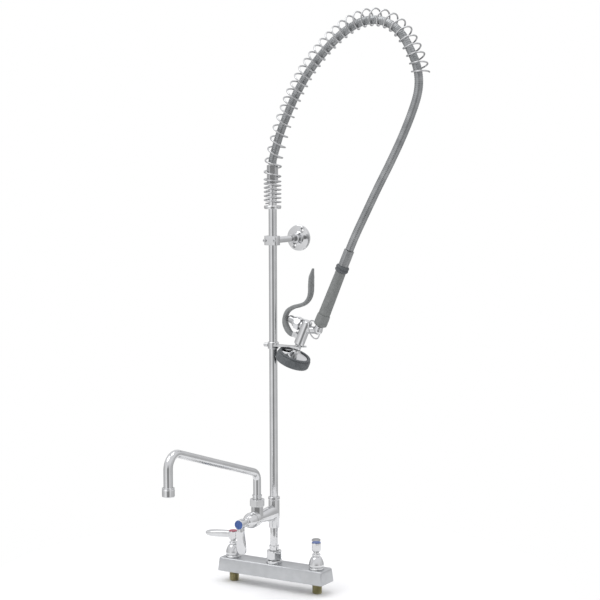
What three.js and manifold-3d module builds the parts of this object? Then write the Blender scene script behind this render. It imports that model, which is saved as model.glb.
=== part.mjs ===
// Deck-mounted pre-rinse faucet: 8 inch mixing base, riser, overhead spring and hose with a
// spray valve, finger hook, wall bracket, and an add-on faucet with a swing nozzle.
//
// Millimetres. +X to the right along the base, +Y back towards the wall, +Z up.
// The origin is the centre of the deck plane, under the base and on the riser's axis.

import * as THREE from 'three';
import { mergeVertices } from 'three/addons/utils/BufferGeometryUtils.js';
import Module from 'manifold-3d';

const wasm = await Module();
wasm.setup();

// ---------------------------------------------------------------- driving dimensions

const GAP = 0.3; // clearance left between neighbouring solids
const ROUND = 20; // sides of a turned piece

const VALVE_SPACING = 203.2; // between the two valve centres
const BASE = { length: 254, front: -23, back: 28.5, height: 28.5, shankY: 3 };

const PIPE = { outer: 8.3, bore: 6.2 }; // 3/8 inch pipe, radii
const SOCKET = PIPE.outer + GAP; // radius of a hole that takes the pipe

const OUTLET = { ringTop: 36.5, nutTop: 54.5, sleeveTop: 65.5, nippleTop: 113 };

const ADDON = { bottom: 103, top: 168, barrelZ: 135, boss: 11.3, barrel: 12, valveY: -79 };
const NOZZLE = {
  y: -64.5, reach: 308, tube: 7.95, flare: 0.95, wall: 1.1, bossTop: 160, nutTop: 175, collarTop: 184,
  elbowZ: 228.6, slope: 17.2, elbowRadius: 20, outletRadius: 26, tipTop: 255.5, tipBottom: 238,
};

const RISER = { bottom: 157, top: 828 };
const SPRING_SEAT = { bottom: 763, top: 770, radius: 17.5 };
const HOSE_FITTING = { bottom: 815, top: 851.7, radius: 11.8 };

const BRACKET = { z: 698.6, arm: 6.4, armStart: 12.4, nutStart: 69, nutEnd: 83, wall: 105 };
const HOOK = { z: 482, thickness: 3, slotX: 58.4, slotRadius: 8.6, reach: 72, height: 14, collar: 11.2 };

// The spray gun's own frame: origin at the grip's lower end, +Z up along the grip,
// and -X towards the squeeze lever.
const GUN = { x: 112.3, z: 533.4, tilt: 23.9, length: 165 };
const VALVE_X = -28.6; // axis of the spray valve's body, beside the grip's axis
const PLUNGER_Z = -22; // height of the plunger's axis
const PIVOT = { x: -42.5, z: -46 }; // the squeeze lever's pin

// Centre line of the free hose in the XZ plane, from the riser's fitting to the grip.
const HOSE_ROUTE = [
  [0, 852.6], [0.3, 860], [3.2, 871], [8.5, 887], [16, 909], [26, 933], [40, 962], [59, 997], [84, 1034],
  [112, 1066], [144, 1096], [177.7, 1119], [209.9, 1131.8], [241.5, 1133.4], [271, 1123.5],
  [294.8, 1103.8], [312.5, 1076], [325, 1049], [331, 1026], [331.6, 1005], [328, 985],
  [320.5, 963], [308.5, 934], [292, 899], [268.8, 854.9], [242.5, 807.9], [217, 760],
  [195.5, 719], [185.3, 698],
];
const HOSE_RADIUS = 8.4;

const SPRING = { bottom: 773.4, radius: 16.5, wire: 1.65, lastPoint: 18, sides: 5, stepsPerTurn: 9 };
// Pitch of the spring at distances along its centre line.
const SPRING_PITCH = [[0, 8.3], [46, 8.3], [62, 20], [80, 22.5], [165, 22], [220, 16.9], [600, 16.9]];
// How far the spring's centre line stands outside the hose's, at the same distances.
const SPRING_OFFSET = [[0, 0], [60, 0], [90, -2.2], [120, -1.5], [160, 1.2], [240, 3.6], [300, 4.4]];

// ---------------------------------------------------------------- materials

const PALETTE = {
  chrome: { color: 0xd9dde0, metalness: 1, roughness: 0.12 },
  satin: { color: 0xb9bdbe, metalness: 0.9, roughness: 0.38 },
  brass: { color: 0xb79b52, metalness: 1, roughness: 0.35 },
  steel: { color: 0x9ea2a4, metalness: 1, roughness: 0.3 },
  hose: { color: 0x8f9394, metalness: 0.9, roughness: 0.4 },
  grip: { color: 0x7d8182, metalness: 0, roughness: 0.6 },
  lever: { color: 0x85898a, metalness: 0.2, roughness: 0.5 },
  rubber: { color: 0x4a4e50, metalness: 0, roughness: 0.75 },
  seal: { color: 0x222222, metalness: 0, roughness: 0.8 },
  plastic: { color: 0xd8d8d2, metalness: 0, roughness: 0.5 },
  red: { color: 0xa82a35, metalness: 0, roughness: 0.35 },
  blue: { color: 0x2f4f8f, metalness: 0, roughness: 0.35 },
};

// ---------------------------------------------------------------- geometry helpers

function signedVolume(positions, index) {
  const corner = (k) => new THREE.Vector3().fromBufferAttribute(positions, index[k]);
  let volume = 0;
  for (let k = 0; k < index.length; k += 3) {
    volume += corner(k).dot(corner(k + 1).cross(corner(k + 2))) / 6;
  }
  return volume;
}

// A closed geometry with shared vertices, no flat triangles, and its faces pointing out.
function weld(geometry) {
  const bare = geometry.clone();
  for (const name of Object.keys(bare.attributes)) {
    if (name !== 'position') bare.deleteAttribute(name);
  }
  const merged = mergeVertices(bare, 1e-4);
  const source = merged.index.array;
  const index = [];
  for (let k = 0; k < source.length; k += 3) {
    const [a, b, c] = source.slice(k, k + 3);
    if (a !== b && b !== c && c !== a) index.push(a, b, c);
  }
  if (signedVolume(merged.attributes.position, index) < 0) index.reverse();
  merged.setIndex(index);
  return merged;
}

function solid(geometry) {
  const welded = weld(geometry);
  return new wasm.Manifold(new wasm.Mesh({
    numProp: 3,
    vertProperties: new Float32Array(welded.attributes.position.array),
    triVerts: new Uint32Array(welded.index.array),
  }));
}

function geometryOf(manifold) {
  const mesh = manifold.getMesh();
  const geometry = new THREE.BufferGeometry();
  geometry.setAttribute('position', new THREE.BufferAttribute(mesh.vertProperties, 3));
  geometry.setIndex(new THREE.BufferAttribute(mesh.triVerts, 1));
  return geometry;
}

// Turns [radius, height] points about Z. A profile with a bore repeats its first point.
function turned(profile, sides = ROUND) {
  const points = profile.map(([radius, height]) => new THREE.Vector2(radius, height));
  return new THREE.LatheGeometry(points, sides).rotateX(Math.PI / 2);
}

function ring(inner, outer, bottom, top, sides = ROUND) {
  return turned([[inner, bottom], [outer, bottom], [outer, top], [inner, top], [inner, bottom]], sides);
}

function rod(radius, bottom, top, sides = ROUND) {
  return turned([[0, bottom], [radius, bottom], [radius, top], [0, top]], sides);
}

// A rod along X or Y, for pieces and holes that lie across the object.
function rodX(radius, start, end, sides = ROUND) {
  return rod(radius, start, end, sides).rotateY(Math.PI / 2);
}

function rodY(radius, start, end, sides = ROUND) {
  return rod(radius, start, end, sides).rotateX(-Math.PI / 2);
}

function box(lowX, highX, lowY, highY, lowZ, highZ) {
  const geometry = new THREE.BoxGeometry(highX - lowX, highY - lowY, highZ - lowZ);
  return geometry.translate((lowX + highX) / 2, (lowY + highY) / 2, (lowZ + highZ) / 2);
}

// A hexagonal prism with its corners turned down at both ends.
function hexagon(corner, bottom, top, bevel = corner * 0.08) {
  const edge = corner - bevel;
  const envelope = turned([
    [0, bottom], [edge, bottom], [corner, bottom + bevel], [corner, top - bevel], [edge, top], [0, top],
  ]);
  return solid(rod(corner, bottom, top, 6)).intersect(solid(envelope));
}

// Joins closed outlines of equal length, one above the other, into one solid.
function loft(outlines) {
  const count = outlines[0].length;
  const rings = outlines.length;
  const vertices = outlines.flat();
  const centre = (outline) => outline
    .reduce((sum, p) => sum.add(p), new THREE.Vector3())
    .divideScalar(count);
  vertices.push(centre(outlines[0]), centre(outlines[rings - 1]));
  const first = rings * count;
  const index = [];
  for (let k = 0; k < count; k += 1) {
    const next = (k + 1) % count;
    for (let r = 0; r + 1 < rings; r += 1) {
      const low = r * count;
      const high = low + count;
      index.push(low + k, low + next, high + next, low + k, high + next, high + k);
    }
    const last = (rings - 1) * count;
    index.push(first, next, k, first + 1, last + k, last + next);
  }
  const geometry = new THREE.BufferGeometry().setFromPoints(vertices);
  geometry.setIndex(index);
  return geometry;
}

function roundedRectangle(halfLength, halfWidth, radius, z, cornerSteps = 3) {
  const outline = [];
  for (let corner = 0; corner < 4; corner += 1) {
    const signX = corner === 0 || corner === 3 ? 1 : -1;
    const signY = corner < 2 ? 1 : -1;
    for (let step = 0; step <= cornerSteps; step += 1) {
      const angle = (corner + step / cornerSteps) * (Math.PI / 2);
      outline.push(new THREE.Vector3(
        signX * (halfLength - radius) + radius * Math.cos(angle),
        signY * (halfWidth - radius) + radius * Math.sin(angle),
        z,
      ));
    }
  }
  return outline;
}

function circleShape(radius, sides) {
  const points = [];
  for (let k = 0; k < sides; k += 1) {
    const angle = (2 * Math.PI * k) / sides;
    points.push(new THREE.Vector2(radius * Math.cos(angle), radius * Math.sin(angle)));
  }
  return new THREE.Shape(points);
}

function tube(path, radius, sides, steps) {
  const section = circleShape(radius, sides);
  return new THREE.ExtrudeGeometry(section, { extrudePath: path, steps, bevelEnabled: false });
}

function interpolate(table, at) {
  const last = table.length - 1;
  if (at >= table[last][0]) return table[last][1];
  const upper = Math.max(1, table.findIndex(([distance]) => distance > at));
  const [x0, y0] = table[upper - 1];
  const [x1, y1] = table[upper];
  return y0 + (y1 - y0) * THREE.MathUtils.smoothstep(at, x0, x1);
}

const faucet = new THREE.Group();
faucet.name = 'pre_rinse_faucet';

// Adds one named piece, from a geometry or from a manifold.
function piece(name, shape, finish, parent = faucet) {
  const geometry = shape.isBufferGeometry ? weld(shape) : geometryOf(shape);
  geometry.computeVertexNormals();
  const mesh = new THREE.Mesh(geometry, new THREE.MeshStandardMaterial(PALETTE[finish]));
  mesh.name = name;
  parent.add(mesh);
  return mesh;
}

// ---------------------------------------------------------------- mixing base

function addBase() {
  const { length, front, back, height, shankY } = BASE;
  const halfLength = length / 2;
  const halfWidth = (back - front) / 2;
  const valveX = VALVE_SPACING / 2;
  const waterwayZ = 19;
  const floor = 10; // depth of the hollows under the casting
  let body = solid(loft([
    roundedRectangle(halfLength, halfWidth, 3.5, 0),
    roundedRectangle(halfLength - 1.8, halfWidth - 2.6, 3.5, height - 4.5),
    roundedRectangle(halfLength - 2.6, halfWidth - 3.6, 3.2, height - 1.4),
    roundedRectangle(halfLength - 4.2, halfWidth - 5.2, 2.6, height),
  ]).translate(0, (front + back) / 2, 0));
  body = body.subtract(solid(rodX(5, -valveX, valveX).translate(0, 0, waterwayZ)));
  body = body.subtract(solid(rod(SOCKET, floor + 2, height + 1)));
  for (const side of [-1, 1]) {
    const x = side * valveX;
    body = body.subtract(solid(rod(9.6, floor + 2, height + 1).translate(x, 0, 0)));
    body = body.subtract(solid(rod(7, -1, floor + 3).translate(x, shankY, 0)));
    const near = 32;
    const far = valveX - 20;
    const [low, high] = side > 0 ? [near, far] : [-far, -near];
    body = body.subtract(solid(box(low, high, front + 6, back - 6, -1, floor)));
  }
  piece('deck_body', body, 'satin');

  for (const [name, side] of [['hot', -1], ['cold', 1]]) {
    const x = side * valveX;
    const shank = turned([
      [4.5, -23], [9.4, -23], [10, -22], [10, -3.6], [15.5, -3.6], [15.5, -GAP], [6.7, -GAP],
      [6.7, 9], [4.5, 9], [4.5, -23],
    ]);
    piece(`inlet_shank_${name}`, shank.translate(x, shankY, 0), 'brass');
  }
}

function addOutlet() {
  const { ringTop, nutTop, sleeveTop, nippleTop } = OUTLET;
  const base = BASE.height;
  const inner = SOCKET;
  piece('outlet_ring', turned([
    [inner, base + GAP], [16.5, base + GAP], [16.5, ringTop - 2.5], [14.5, ringTop - 1],
    [12.5, ringTop - 0.6], [12.5, ringTop], [inner, ringTop], [inner, base + GAP],
  ]), 'chrome');
  const nut = hexagon(17.3, ringTop + GAP, nutTop, 3.4).subtract(solid(rod(12, ringTop, nutTop - 5)))
    .subtract(solid(rod(inner, ringTop, nutTop + 1)));
  piece('outlet_nut', nut.rotate([0, 0, 30]), 'chrome');
  piece('outlet_sleeve', turned([
    [inner, nutTop + GAP], [9.6, nutTop + GAP], [9.6, sleeveTop - 3], [10.2, sleeveTop - 2.4],
    [10.2, sleeveTop], [inner, sleeveTop], [inner, nutTop + GAP],
  ]), 'chrome');
  piece('outlet_nipple', ring(PIPE.bore, PIPE.outer, BASE.height - 14, nippleTop), 'chrome');
}

// ---------------------------------------------------------------- a valve and its lever handle

// One valve stack, standing on the plane z = 0, with its lever along +X.
const STACK = { flangeTop: 3.6, neckTop: 34.6, hubBottom: 35.2, hubTop: 54.5 };
const LEVER_REACH = { base: 67, addon: 62 };

function bonnetShape() {
  const { flangeTop, neckTop } = STACK;
  return turned([
    [16, GAP], [16, flangeTop], [15, flangeTop + 1.4], [15.9, flangeTop + 2.8], [15.9, 10],
    [15, 14], [13.6, 18], [10.2, 24.5], [8, 26.8], [8.5, 28.2], [8.5, 30.8], [5.9, 32.4],
    [5.9, neckTop], [4.6, neckTop], [4.6, 20.2], [9.9, 20.2], [9.9, GAP], [16, GAP],
  ]);
}

// Half width, top and bottom of the lever's blade at distances from the valve's axis.
const BLADE = [
  [4, 6.2, 54.2, 40.2], [12, 7, 54.2, 39.8], [20, 7.2, 54, 39], [32, 8, 53, 38], [45, 9.2, 51.6, 37.4],
  [56, 9.9, 50, 37.6], [63, 8.8, 48.6, 38.8], [67, 5.4, 47, 41],
];

// The blade, drawn out or shortened to end at the given reach.
function bladeShape(tipReach) {
  const share = tipReach / BLADE[BLADE.length - 1][0];
  const outlines = BLADE.map(([reach, halfWidth, top, bottom]) => {
    const middle = (top + bottom) / 2;
    const halfHeight = (top - bottom) / 2;
    const outline = [];
    for (let k = 0; k < 12; k += 1) {
      const angle = (2 * Math.PI * k) / 12;
      const squareness = 0.6;
      const flatten = (v) => Math.sign(v) * Math.abs(v) ** squareness;
      outline.push(new THREE.Vector3(
        share * reach,
        halfWidth * flatten(Math.cos(angle)),
        middle + halfHeight * flatten(Math.sin(angle)),
      ));
    }
    return outline;
  });
  return loft(outlines);
}

function handleShape(tipReach) {
  const { hubBottom, hubTop } = STACK;
  const hub = solid(turned([
    [0, hubBottom], [6.6, hubBottom], [9.5, hubBottom + 4.4], [9.5, hubTop], [0, hubTop],
  ]));
  return hub.add(solid(bladeShape(tipReach)))
    .subtract(solid(rod(4.5, hubBottom - 1, hubTop - 8.5)))
    .subtract(solid(rod(1.9, hubBottom - 1, hubTop)))
    .subtract(solid(rod(6.8, hubTop - 7, hubTop + 1)));
}

function addValve(name, position, turn, lean, tipReach, indexFinish) {
  const { hubBottom, hubTop } = STACK;
  const stack = new THREE.Group();
  stack.position.set(...position);
  stack.rotation.set(lean, 0, 0);
  faucet.add(stack);
  const turning = new THREE.Group();
  turning.rotation.z = turn;
  stack.add(turning);

  piece(`${name}_cartridge`, ring(4.6, 9.3, -14, 19.8, 20), 'brass', stack);
  piece(`${name}_bonnet`, bonnetShape(), 'chrome', stack);
  piece(`${name}_stem`, turned([
    [0, -8], [4.2, -8], [4.2, hubTop - 8.8], [1.9, hubTop - 8.8], [1.9, hubBottom + 1],
    [0, hubBottom + 1],
  ], 16), 'brass', turning);
  piece(`${name}_handle`, handleShape(tipReach), 'chrome', turning);
  piece(`${name}_handle_screw`, turned([
    [0, hubBottom + 2], [1.5, hubBottom + 2], [1.5, hubTop - 6.7], [3.4, hubTop - 6.7],
    [3.4, hubTop - 4.4], [0, hubTop - 4.4],
  ], 12), 'steel', turning);
  piece(`${name}_index`, turned([
    [0, hubTop - 3.8], [6.4, hubTop - 3.8], [6.4, hubTop + GAP], [9.2, hubTop + GAP],
    [9.2, hubTop + 1.2], [8.4, hubTop + 1.7], [0, hubTop + 1.7],
  ]), indexFinish, turning);
}

// ---------------------------------------------------------------- add-on faucet

// The add-on faucet's barrel: an oval that is tall at the riser and round at the valve.
function barrelShape() {
  const { barrelZ, boss, barrel, valveY } = ADDON;
  const stations = [
    [0, boss, 16], [-14, boss, 16], [-30, barrel, 14.2], [-46, barrel, 12.4], [valveY, barrel, 12],
  ];
  const unit = circleShape(1, ROUND).getPoints().slice(0, ROUND);
  return loft(stations.map(([y, halfWidth, halfHeight]) => unit.map((point) => (
    new THREE.Vector3(halfWidth * point.x, y, barrelZ + halfHeight * point.y)
  ))));
}

function addAddonBody() {
  const { bottom, top, barrelZ, boss, barrel, valveY } = ADDON;
  const { y, bossTop } = NOZZLE;
  const acrossBoss = turned([
    [0, bottom], [boss, bottom], [boss, top - 6], [boss + 0.5, top - 5.5], [boss + 0.5, top], [0, top],
  ]);
  let body = solid(acrossBoss)
    .add(solid(barrelShape()))
    .add(solid(rodY(barrel + 3, valveY, valveY + 9).translate(0, 0, barrelZ)))
    .add(hexagon(12.6, barrelZ, bossTop).translate(0, y, 0));
  const cuts = [
    rod(SOCKET, bottom - 1, OUTLET.nippleTop + 1),
    rod(PIPE.bore, bottom, top),
    rod(SOCKET, RISER.bottom - 1, top + 1),
    rodY(9.6, valveY - 1, valveY + 17.5).translate(0, 0, barrelZ),
    rodY(5, valveY, 0).translate(0, 0, barrelZ),
    rod(9.2, bossTop - 9, bossTop + 1).translate(0, y, 0),
    rod(5, barrelZ, bossTop).translate(0, y, 0),
  ];
  for (const cut of cuts) body = body.subtract(solid(cut));
  piece('addon_body', body, 'chrome');
}

// The nozzle's centre line in the YZ plane: up, over along a rising straight, and down.
// Each station holds a point, the direction the tube runs there, and how much wider it has grown.
function nozzleStations() {
  const { y, reach, elbowZ, slope, elbowRadius, outletRadius, bossTop, tipTop, flare } = NOZZLE;
  const rise = THREE.MathUtils.degToRad(slope);
  const stations = [];
  const upright = Math.PI / 2;
  const add = (atY, atZ, heading) => stations.push({
    point: new THREE.Vector3(0, atY, atZ),
    along: new THREE.Vector3(0, -Math.cos(heading), Math.sin(heading)),
    widening: Math.max(0, -heading / upright) * flare,
  });
  // Heading is the angle above -Y; a bend turns it from one value to the next.
  const bend = (cornerY, cornerZ, from, to, radius) => {
    const turn = from - to;
    const tangent = radius * Math.tan(turn / 2);
    const startY = cornerY + tangent * Math.cos(from);
    const startZ = cornerZ - tangent * Math.sin(from);
    const centreY = startY - radius * Math.sin(from);
    const centreZ = startZ - radius * Math.cos(from);
    const steps = Math.ceil(turn / 0.26);
    for (let k = 0; k <= steps; k += 1) {
      const heading = from - (turn * k) / steps;
      add(centreY + radius * Math.sin(heading), centreZ + radius * Math.cos(heading), heading);
    }
  };
  add(y, bossTop - 8, upright);
  bend(y, elbowZ, upright, rise, elbowRadius);
  bend(y - reach, elbowZ + reach * Math.tan(rise), rise, -upright, outletRadius);
  add(y - reach, tipTop - 5, -upright);
  return stations;
}

function sweep(stations, startRadius, sides) {
  const across = new THREE.Vector3(1, 0, 0);
  return solid(loft(stations.map(({ point, along, widening }) => {
    const normal = new THREE.Vector3().crossVectors(along, across);
    const radius = startRadius + widening;
    const outline = [];
    for (let k = 0; k < sides; k += 1) {
      const angle = (2 * Math.PI * k) / sides;
      outline.push(point.clone()
        .addScaledVector(across, radius * Math.cos(angle))
        .addScaledVector(normal, radius * Math.sin(angle)));
    }
    return outline;
  })));
}

function addNozzle() {
  const { y, reach, tube: outer, flare, wall, bossTop, nutTop, collarTop, tipTop, tipBottom } = NOZZLE;
  const clear = outer + GAP;
  const nut = hexagon(16.6, bossTop + GAP, nutTop, 3.2)
    .subtract(solid(rod(clear, bossTop, nutTop + 1)))
    .subtract(solid(rod(11, bossTop, nutTop - 5)));
  piece('nozzle_nut', nut.rotate([0, 0, 30]).translate(0, y, 0), 'chrome');
  piece('nozzle_seal', ring(clear, 10.6, bossTop + GAP, nutTop - 6, 20).translate(0, y, 0), 'seal');
  const collar = turned([
    [clear, nutTop + GAP], [9.2, nutTop + GAP], [8.9, nutTop + 4], [9.6, collarTop - 2.4],
    [9.6, collarTop], [clear, collarTop], [clear, nutTop + GAP],
  ], 20);
  piece('nozzle_collar', collar.translate(0, y, 0), 'chrome');
  const stations = nozzleStations();
  const ends = [stations[0], stations[stations.length - 1]];
  const [foot, mouth] = ends.map(({ point, along }, k) => point.clone().addScaledVector(along, 2 * k - 1));
  const bore = [{ ...ends[0], point: foot }, ...stations.slice(1, -1), { ...ends[1], point: mouth }];
  const pipe = sweep(stations, outer, 16).subtract(sweep(bore, outer - wall, 12));
  piece('swing_nozzle', pipe, 'chrome');
  const tipBore = clear + flare;
  const lip = tipBore - 0.8; // the inside ledge below the end of the tube
  const tip = turned([
    [lip, tipBottom], [11.6, tipBottom], [12, tipBottom + 2], [12, tipTop - 1.5], [11, tipTop],
    [tipBore, tipTop], [tipBore, tipTop - 6], [lip, tipTop - 6], [lip, tipBottom],
  ]);
  piece('nozzle_tip', tip.translate(0, y - reach, 0), 'chrome');
}

// ---------------------------------------------------------------- riser, bracket and hook

function addRiser() {
  piece('riser', ring(PIPE.bore, PIPE.outer, RISER.bottom, RISER.top), 'chrome');
  const { bottom, top, radius } = SPRING_SEAT;
  piece('spring_seat', turned([
    [SOCKET, bottom], [radius - 1.5, bottom], [radius, bottom + 1.5], [radius, top - 0.8],
    [radius - 0.8, top], [SOCKET, top], [SOCKET, bottom],
  ]), 'chrome');
  const fitting = hexagon(HOSE_FITTING.radius, HOSE_FITTING.bottom, HOSE_FITTING.top)
    .subtract(solid(rod(SOCKET, HOSE_FITTING.bottom - 1, RISER.top + 1)))
    .subtract(solid(rod(5, RISER.top, HOSE_FITTING.top + 1)));
  piece('hose_fitting', fitting, 'steel');
}

function clampShape(nearY, farY, height) {
  const halfWidth = 15.6;
  const corner = 6;
  const shape = new THREE.Shape();
  shape.moveTo(-halfWidth, nearY);
  shape.lineTo(halfWidth, nearY);
  shape.lineTo(halfWidth, farY - Math.sign(farY) * corner);
  shape.quadraticCurveTo(halfWidth, farY, halfWidth - corner, farY);
  shape.lineTo(-halfWidth + corner, farY);
  shape.quadraticCurveTo(-halfWidth, farY, -halfWidth, farY - Math.sign(farY) * corner);
  const geometry = new THREE.ExtrudeGeometry(shape, { depth: height, bevelEnabled: false, curveSegments: 5 });
  return solid(geometry.translate(0, 0, -height / 2));
}

function addBracket() {
  const { z, arm, armStart, nutStart, nutEnd, wall } = BRACKET;
  const height = 19;
  const screwX = 12;
  const frontFace = -11.8;
  const bore = solid(rod(SOCKET, -height, height));
  let front = clampShape(-GAP, frontFace, height).subtract(bore);
  let back = clampShape(GAP, 7, height).add(solid(rodY(9.6, 2, armStart - 0.4)).subtract(bore)).subtract(bore);
  for (const side of [-1, 1]) {
    const hole = solid(rodY(2.4, frontFace - 1, 8, 12).translate(side * screwX, 0, 0));
    front = front.subtract(hole);
    back = back.subtract(hole);
    const screw = solid(rodY(3.2, frontFace - 2.8, frontFace - GAP, 12))
      .add(solid(rodY(2.1, frontFace - 2, 6, 12)))
      .subtract(solid(rodY(1.5, frontFace - 4, frontFace - 1.2, 6)));
    const name = side < 0 ? 'bracket_screw_left' : 'bracket_screw_right';
    piece(name, screw.translate(side * screwX, 0, z), 'steel');
  }
  piece('bracket_clamp_front', front.translate(0, 0, z), 'chrome');
  piece('bracket_clamp_back', back.translate(0, 0, z), 'chrome');
  piece('bracket_arm', rodY(arm, armStart, wall - 7).translate(0, 0, z), 'chrome');
  const nut = hexagon(9.4, nutStart, nutEnd).subtract(solid(rod(arm + GAP, nutStart - 1, nutEnd + 1)));
  piece('bracket_nut', nut.rotate([-90, 0, 0]).translate(0, 0, z), 'chrome');
  const flangeFront = nutEnd + GAP;
  let flange = solid(turned([
    [0, wall], [27, wall], [27, wall - 4.4], [26.2, wall - 5.4], [14, wall - 6.4], [11.5, wall - 9],
    [10, flangeFront + 3], [8.6, flangeFront], [arm + GAP, flangeFront], [arm + GAP, wall - 6.6],
    [0, wall - 6.6],
  ]).rotateX(-Math.PI / 2));
  for (const degrees of [60, 240]) {
    const angle = THREE.MathUtils.degToRad(degrees);
    const hole = turned([
      [0, wall - 10], [5.2, wall - 10], [5.2, wall - 5.4], [2.6, wall - 2.4], [2.5, wall + 1], [0, wall + 1],
    ], 12).rotateX(-Math.PI / 2);
    flange = flange.subtract(solid(hole.translate(18.5 * Math.cos(angle), 0, 18.5 * Math.sin(angle))));
  }
  piece('bracket_flange', flange.translate(0, 0, z), 'chrome');
}

function addHook() {
  const { z, thickness, slotX, slotRadius, reach, height, collar } = HOOK;
  const outer = slotRadius + 6;
  const shape = new THREE.Shape();
  shape.moveTo(6, -9.5);
  shape.lineTo(30, -8.5);
  shape.quadraticCurveTo(42, -9, 46, -12);
  shape.quadraticCurveTo(50, -outer, slotX, -outer);
  shape.lineTo(reach - 3, -outer);
  shape.quadraticCurveTo(reach, -outer, reach, -outer + 3);
  shape.lineTo(reach, -slotRadius);
  shape.lineTo(slotX, -slotRadius);
  shape.absarc(slotX, 0, slotRadius, -Math.PI / 2, Math.PI / 2, true);
  shape.lineTo(reach, slotRadius);
  shape.lineTo(reach, outer - 3);
  shape.quadraticCurveTo(reach, outer, reach - 3, outer);
  shape.lineTo(slotX, outer);
  shape.quadraticCurveTo(50, outer, 46, 12);
  shape.quadraticCurveTo(42, 9, 30, 8.5);
  shape.lineTo(6, 9.5);
  const plate = new THREE.ExtrudeGeometry(shape, {
    depth: thickness, bevelEnabled: false, curveSegments: 7,
  }).translate(0, 0, z);
  const middle = z + thickness / 2;
  const low = middle - height / 2;
  const high = middle + height / 2;
  const hook = solid(turned([
    [0, low], [collar - 0.8, low], [collar, low + 1], [collar, high - 1], [collar - 0.8, high],
    [0, high],
  ])).add(solid(plate)).subtract(solid(rod(SOCKET, low - 1, high + 1)))
    .subtract(solid(rodX(2.3, -20, 0, 12).translate(0, 0, middle)));
  piece('finger_hook', hook, 'chrome');
  const screw = solid(rodX(2, -collar - 1, -SOCKET - 0.2, 12)).add(solid(rodX(4, -21.5, -collar - 0.4, 16)));
  piece('hook_screw', screw.translate(0, 0, middle), 'steel');
}

// ---------------------------------------------------------------- hose and overhead spring

const inPlane = ([x, z]) => new THREE.Vector3(x, 0, z);

function gunPoint(x, z) {
  const tilt = THREE.MathUtils.degToRad(GUN.tilt);
  return new THREE.Vector3(
    GUN.x + x * Math.cos(tilt) + z * Math.sin(tilt),
    0,
    GUN.z - x * Math.sin(tilt) + z * Math.cos(tilt),
  );
}

function addHose() {
  const points = HOSE_ROUTE.map(inPlane);
  points.push(gunPoint(0, GUN.length + GAP));
  const path = new THREE.CatmullRomCurve3(points, false, 'centripetal');
  piece('flex_hose', tube(path, HOSE_RADIUS, 12, 30), 'hose');
}

// The spring's wire: turns about a centre line that stands a little outside the hose's.
class SpringWire extends THREE.Curve {
  constructor() {
    super();
    const points = [inPlane([0, SPRING.bottom]), inPlane([0, 800]), inPlane([0, 828])];
    points.push(...HOSE_ROUTE.slice(0, SPRING.lastPoint + 1).map(inPlane));
    this.centre = new THREE.CatmullRomCurve3(points, false, 'centripetal');
    this.centre.arcLengthDivisions = 2000;
    this.length = this.centre.getLength() - 2;
    this.samples = 3000;
    this.turns = [0];
    const step = this.length / this.samples;
    for (let k = 0; k < this.samples; k += 1) {
      const pitch = interpolate(SPRING_PITCH, (k + 0.5) * step);
      this.turns.push(this.turns[k] + step / pitch);
    }
    this.arcLengthDivisions = 6000;
  }

  turnCount() {
    return this.turns[this.samples];
  }

  getPoint(t, target = new THREE.Vector3()) {
    const place = t * this.samples;
    const below = Math.min(Math.floor(place), this.samples - 1);
    const turn = THREE.MathUtils.lerp(this.turns[below], this.turns[below + 1], place - below);
    const distance = t * this.length;
    const u = distance / this.centre.getLength();
    const tangent = this.centre.getTangentAt(u);
    const outward = new THREE.Vector3(-tangent.z, 0, tangent.x);
    const angle = 2 * Math.PI * turn;
    const out = interpolate(SPRING_OFFSET, distance) + SPRING.radius * Math.cos(angle);
    this.centre.getPointAt(u, target).addScaledVector(outward, out);
    target.y += SPRING.radius * Math.sin(angle);
    return target;
  }
}

function addSpring() {
  const wire = new SpringWire();
  const steps = Math.round(wire.turnCount() * SPRING.stepsPerTurn);
  piece('overhead_spring', tube(wire, SPRING.wire, SPRING.sides, steps), 'chrome');
}

// ---------------------------------------------------------------- spray gun

// Places a geometry built along +Z so that it runs along the plunger's axis, towards the lever.
function acrossGun(geometry) {
  return geometry.rotateY(-Math.PI / 2).translate(0, 0, PLUNGER_Z);
}

function between(start, end, radius) {
  const along = new THREE.LineCurve3(start, end);
  return solid(tube(along, radius, 20, 1));
}

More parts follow.
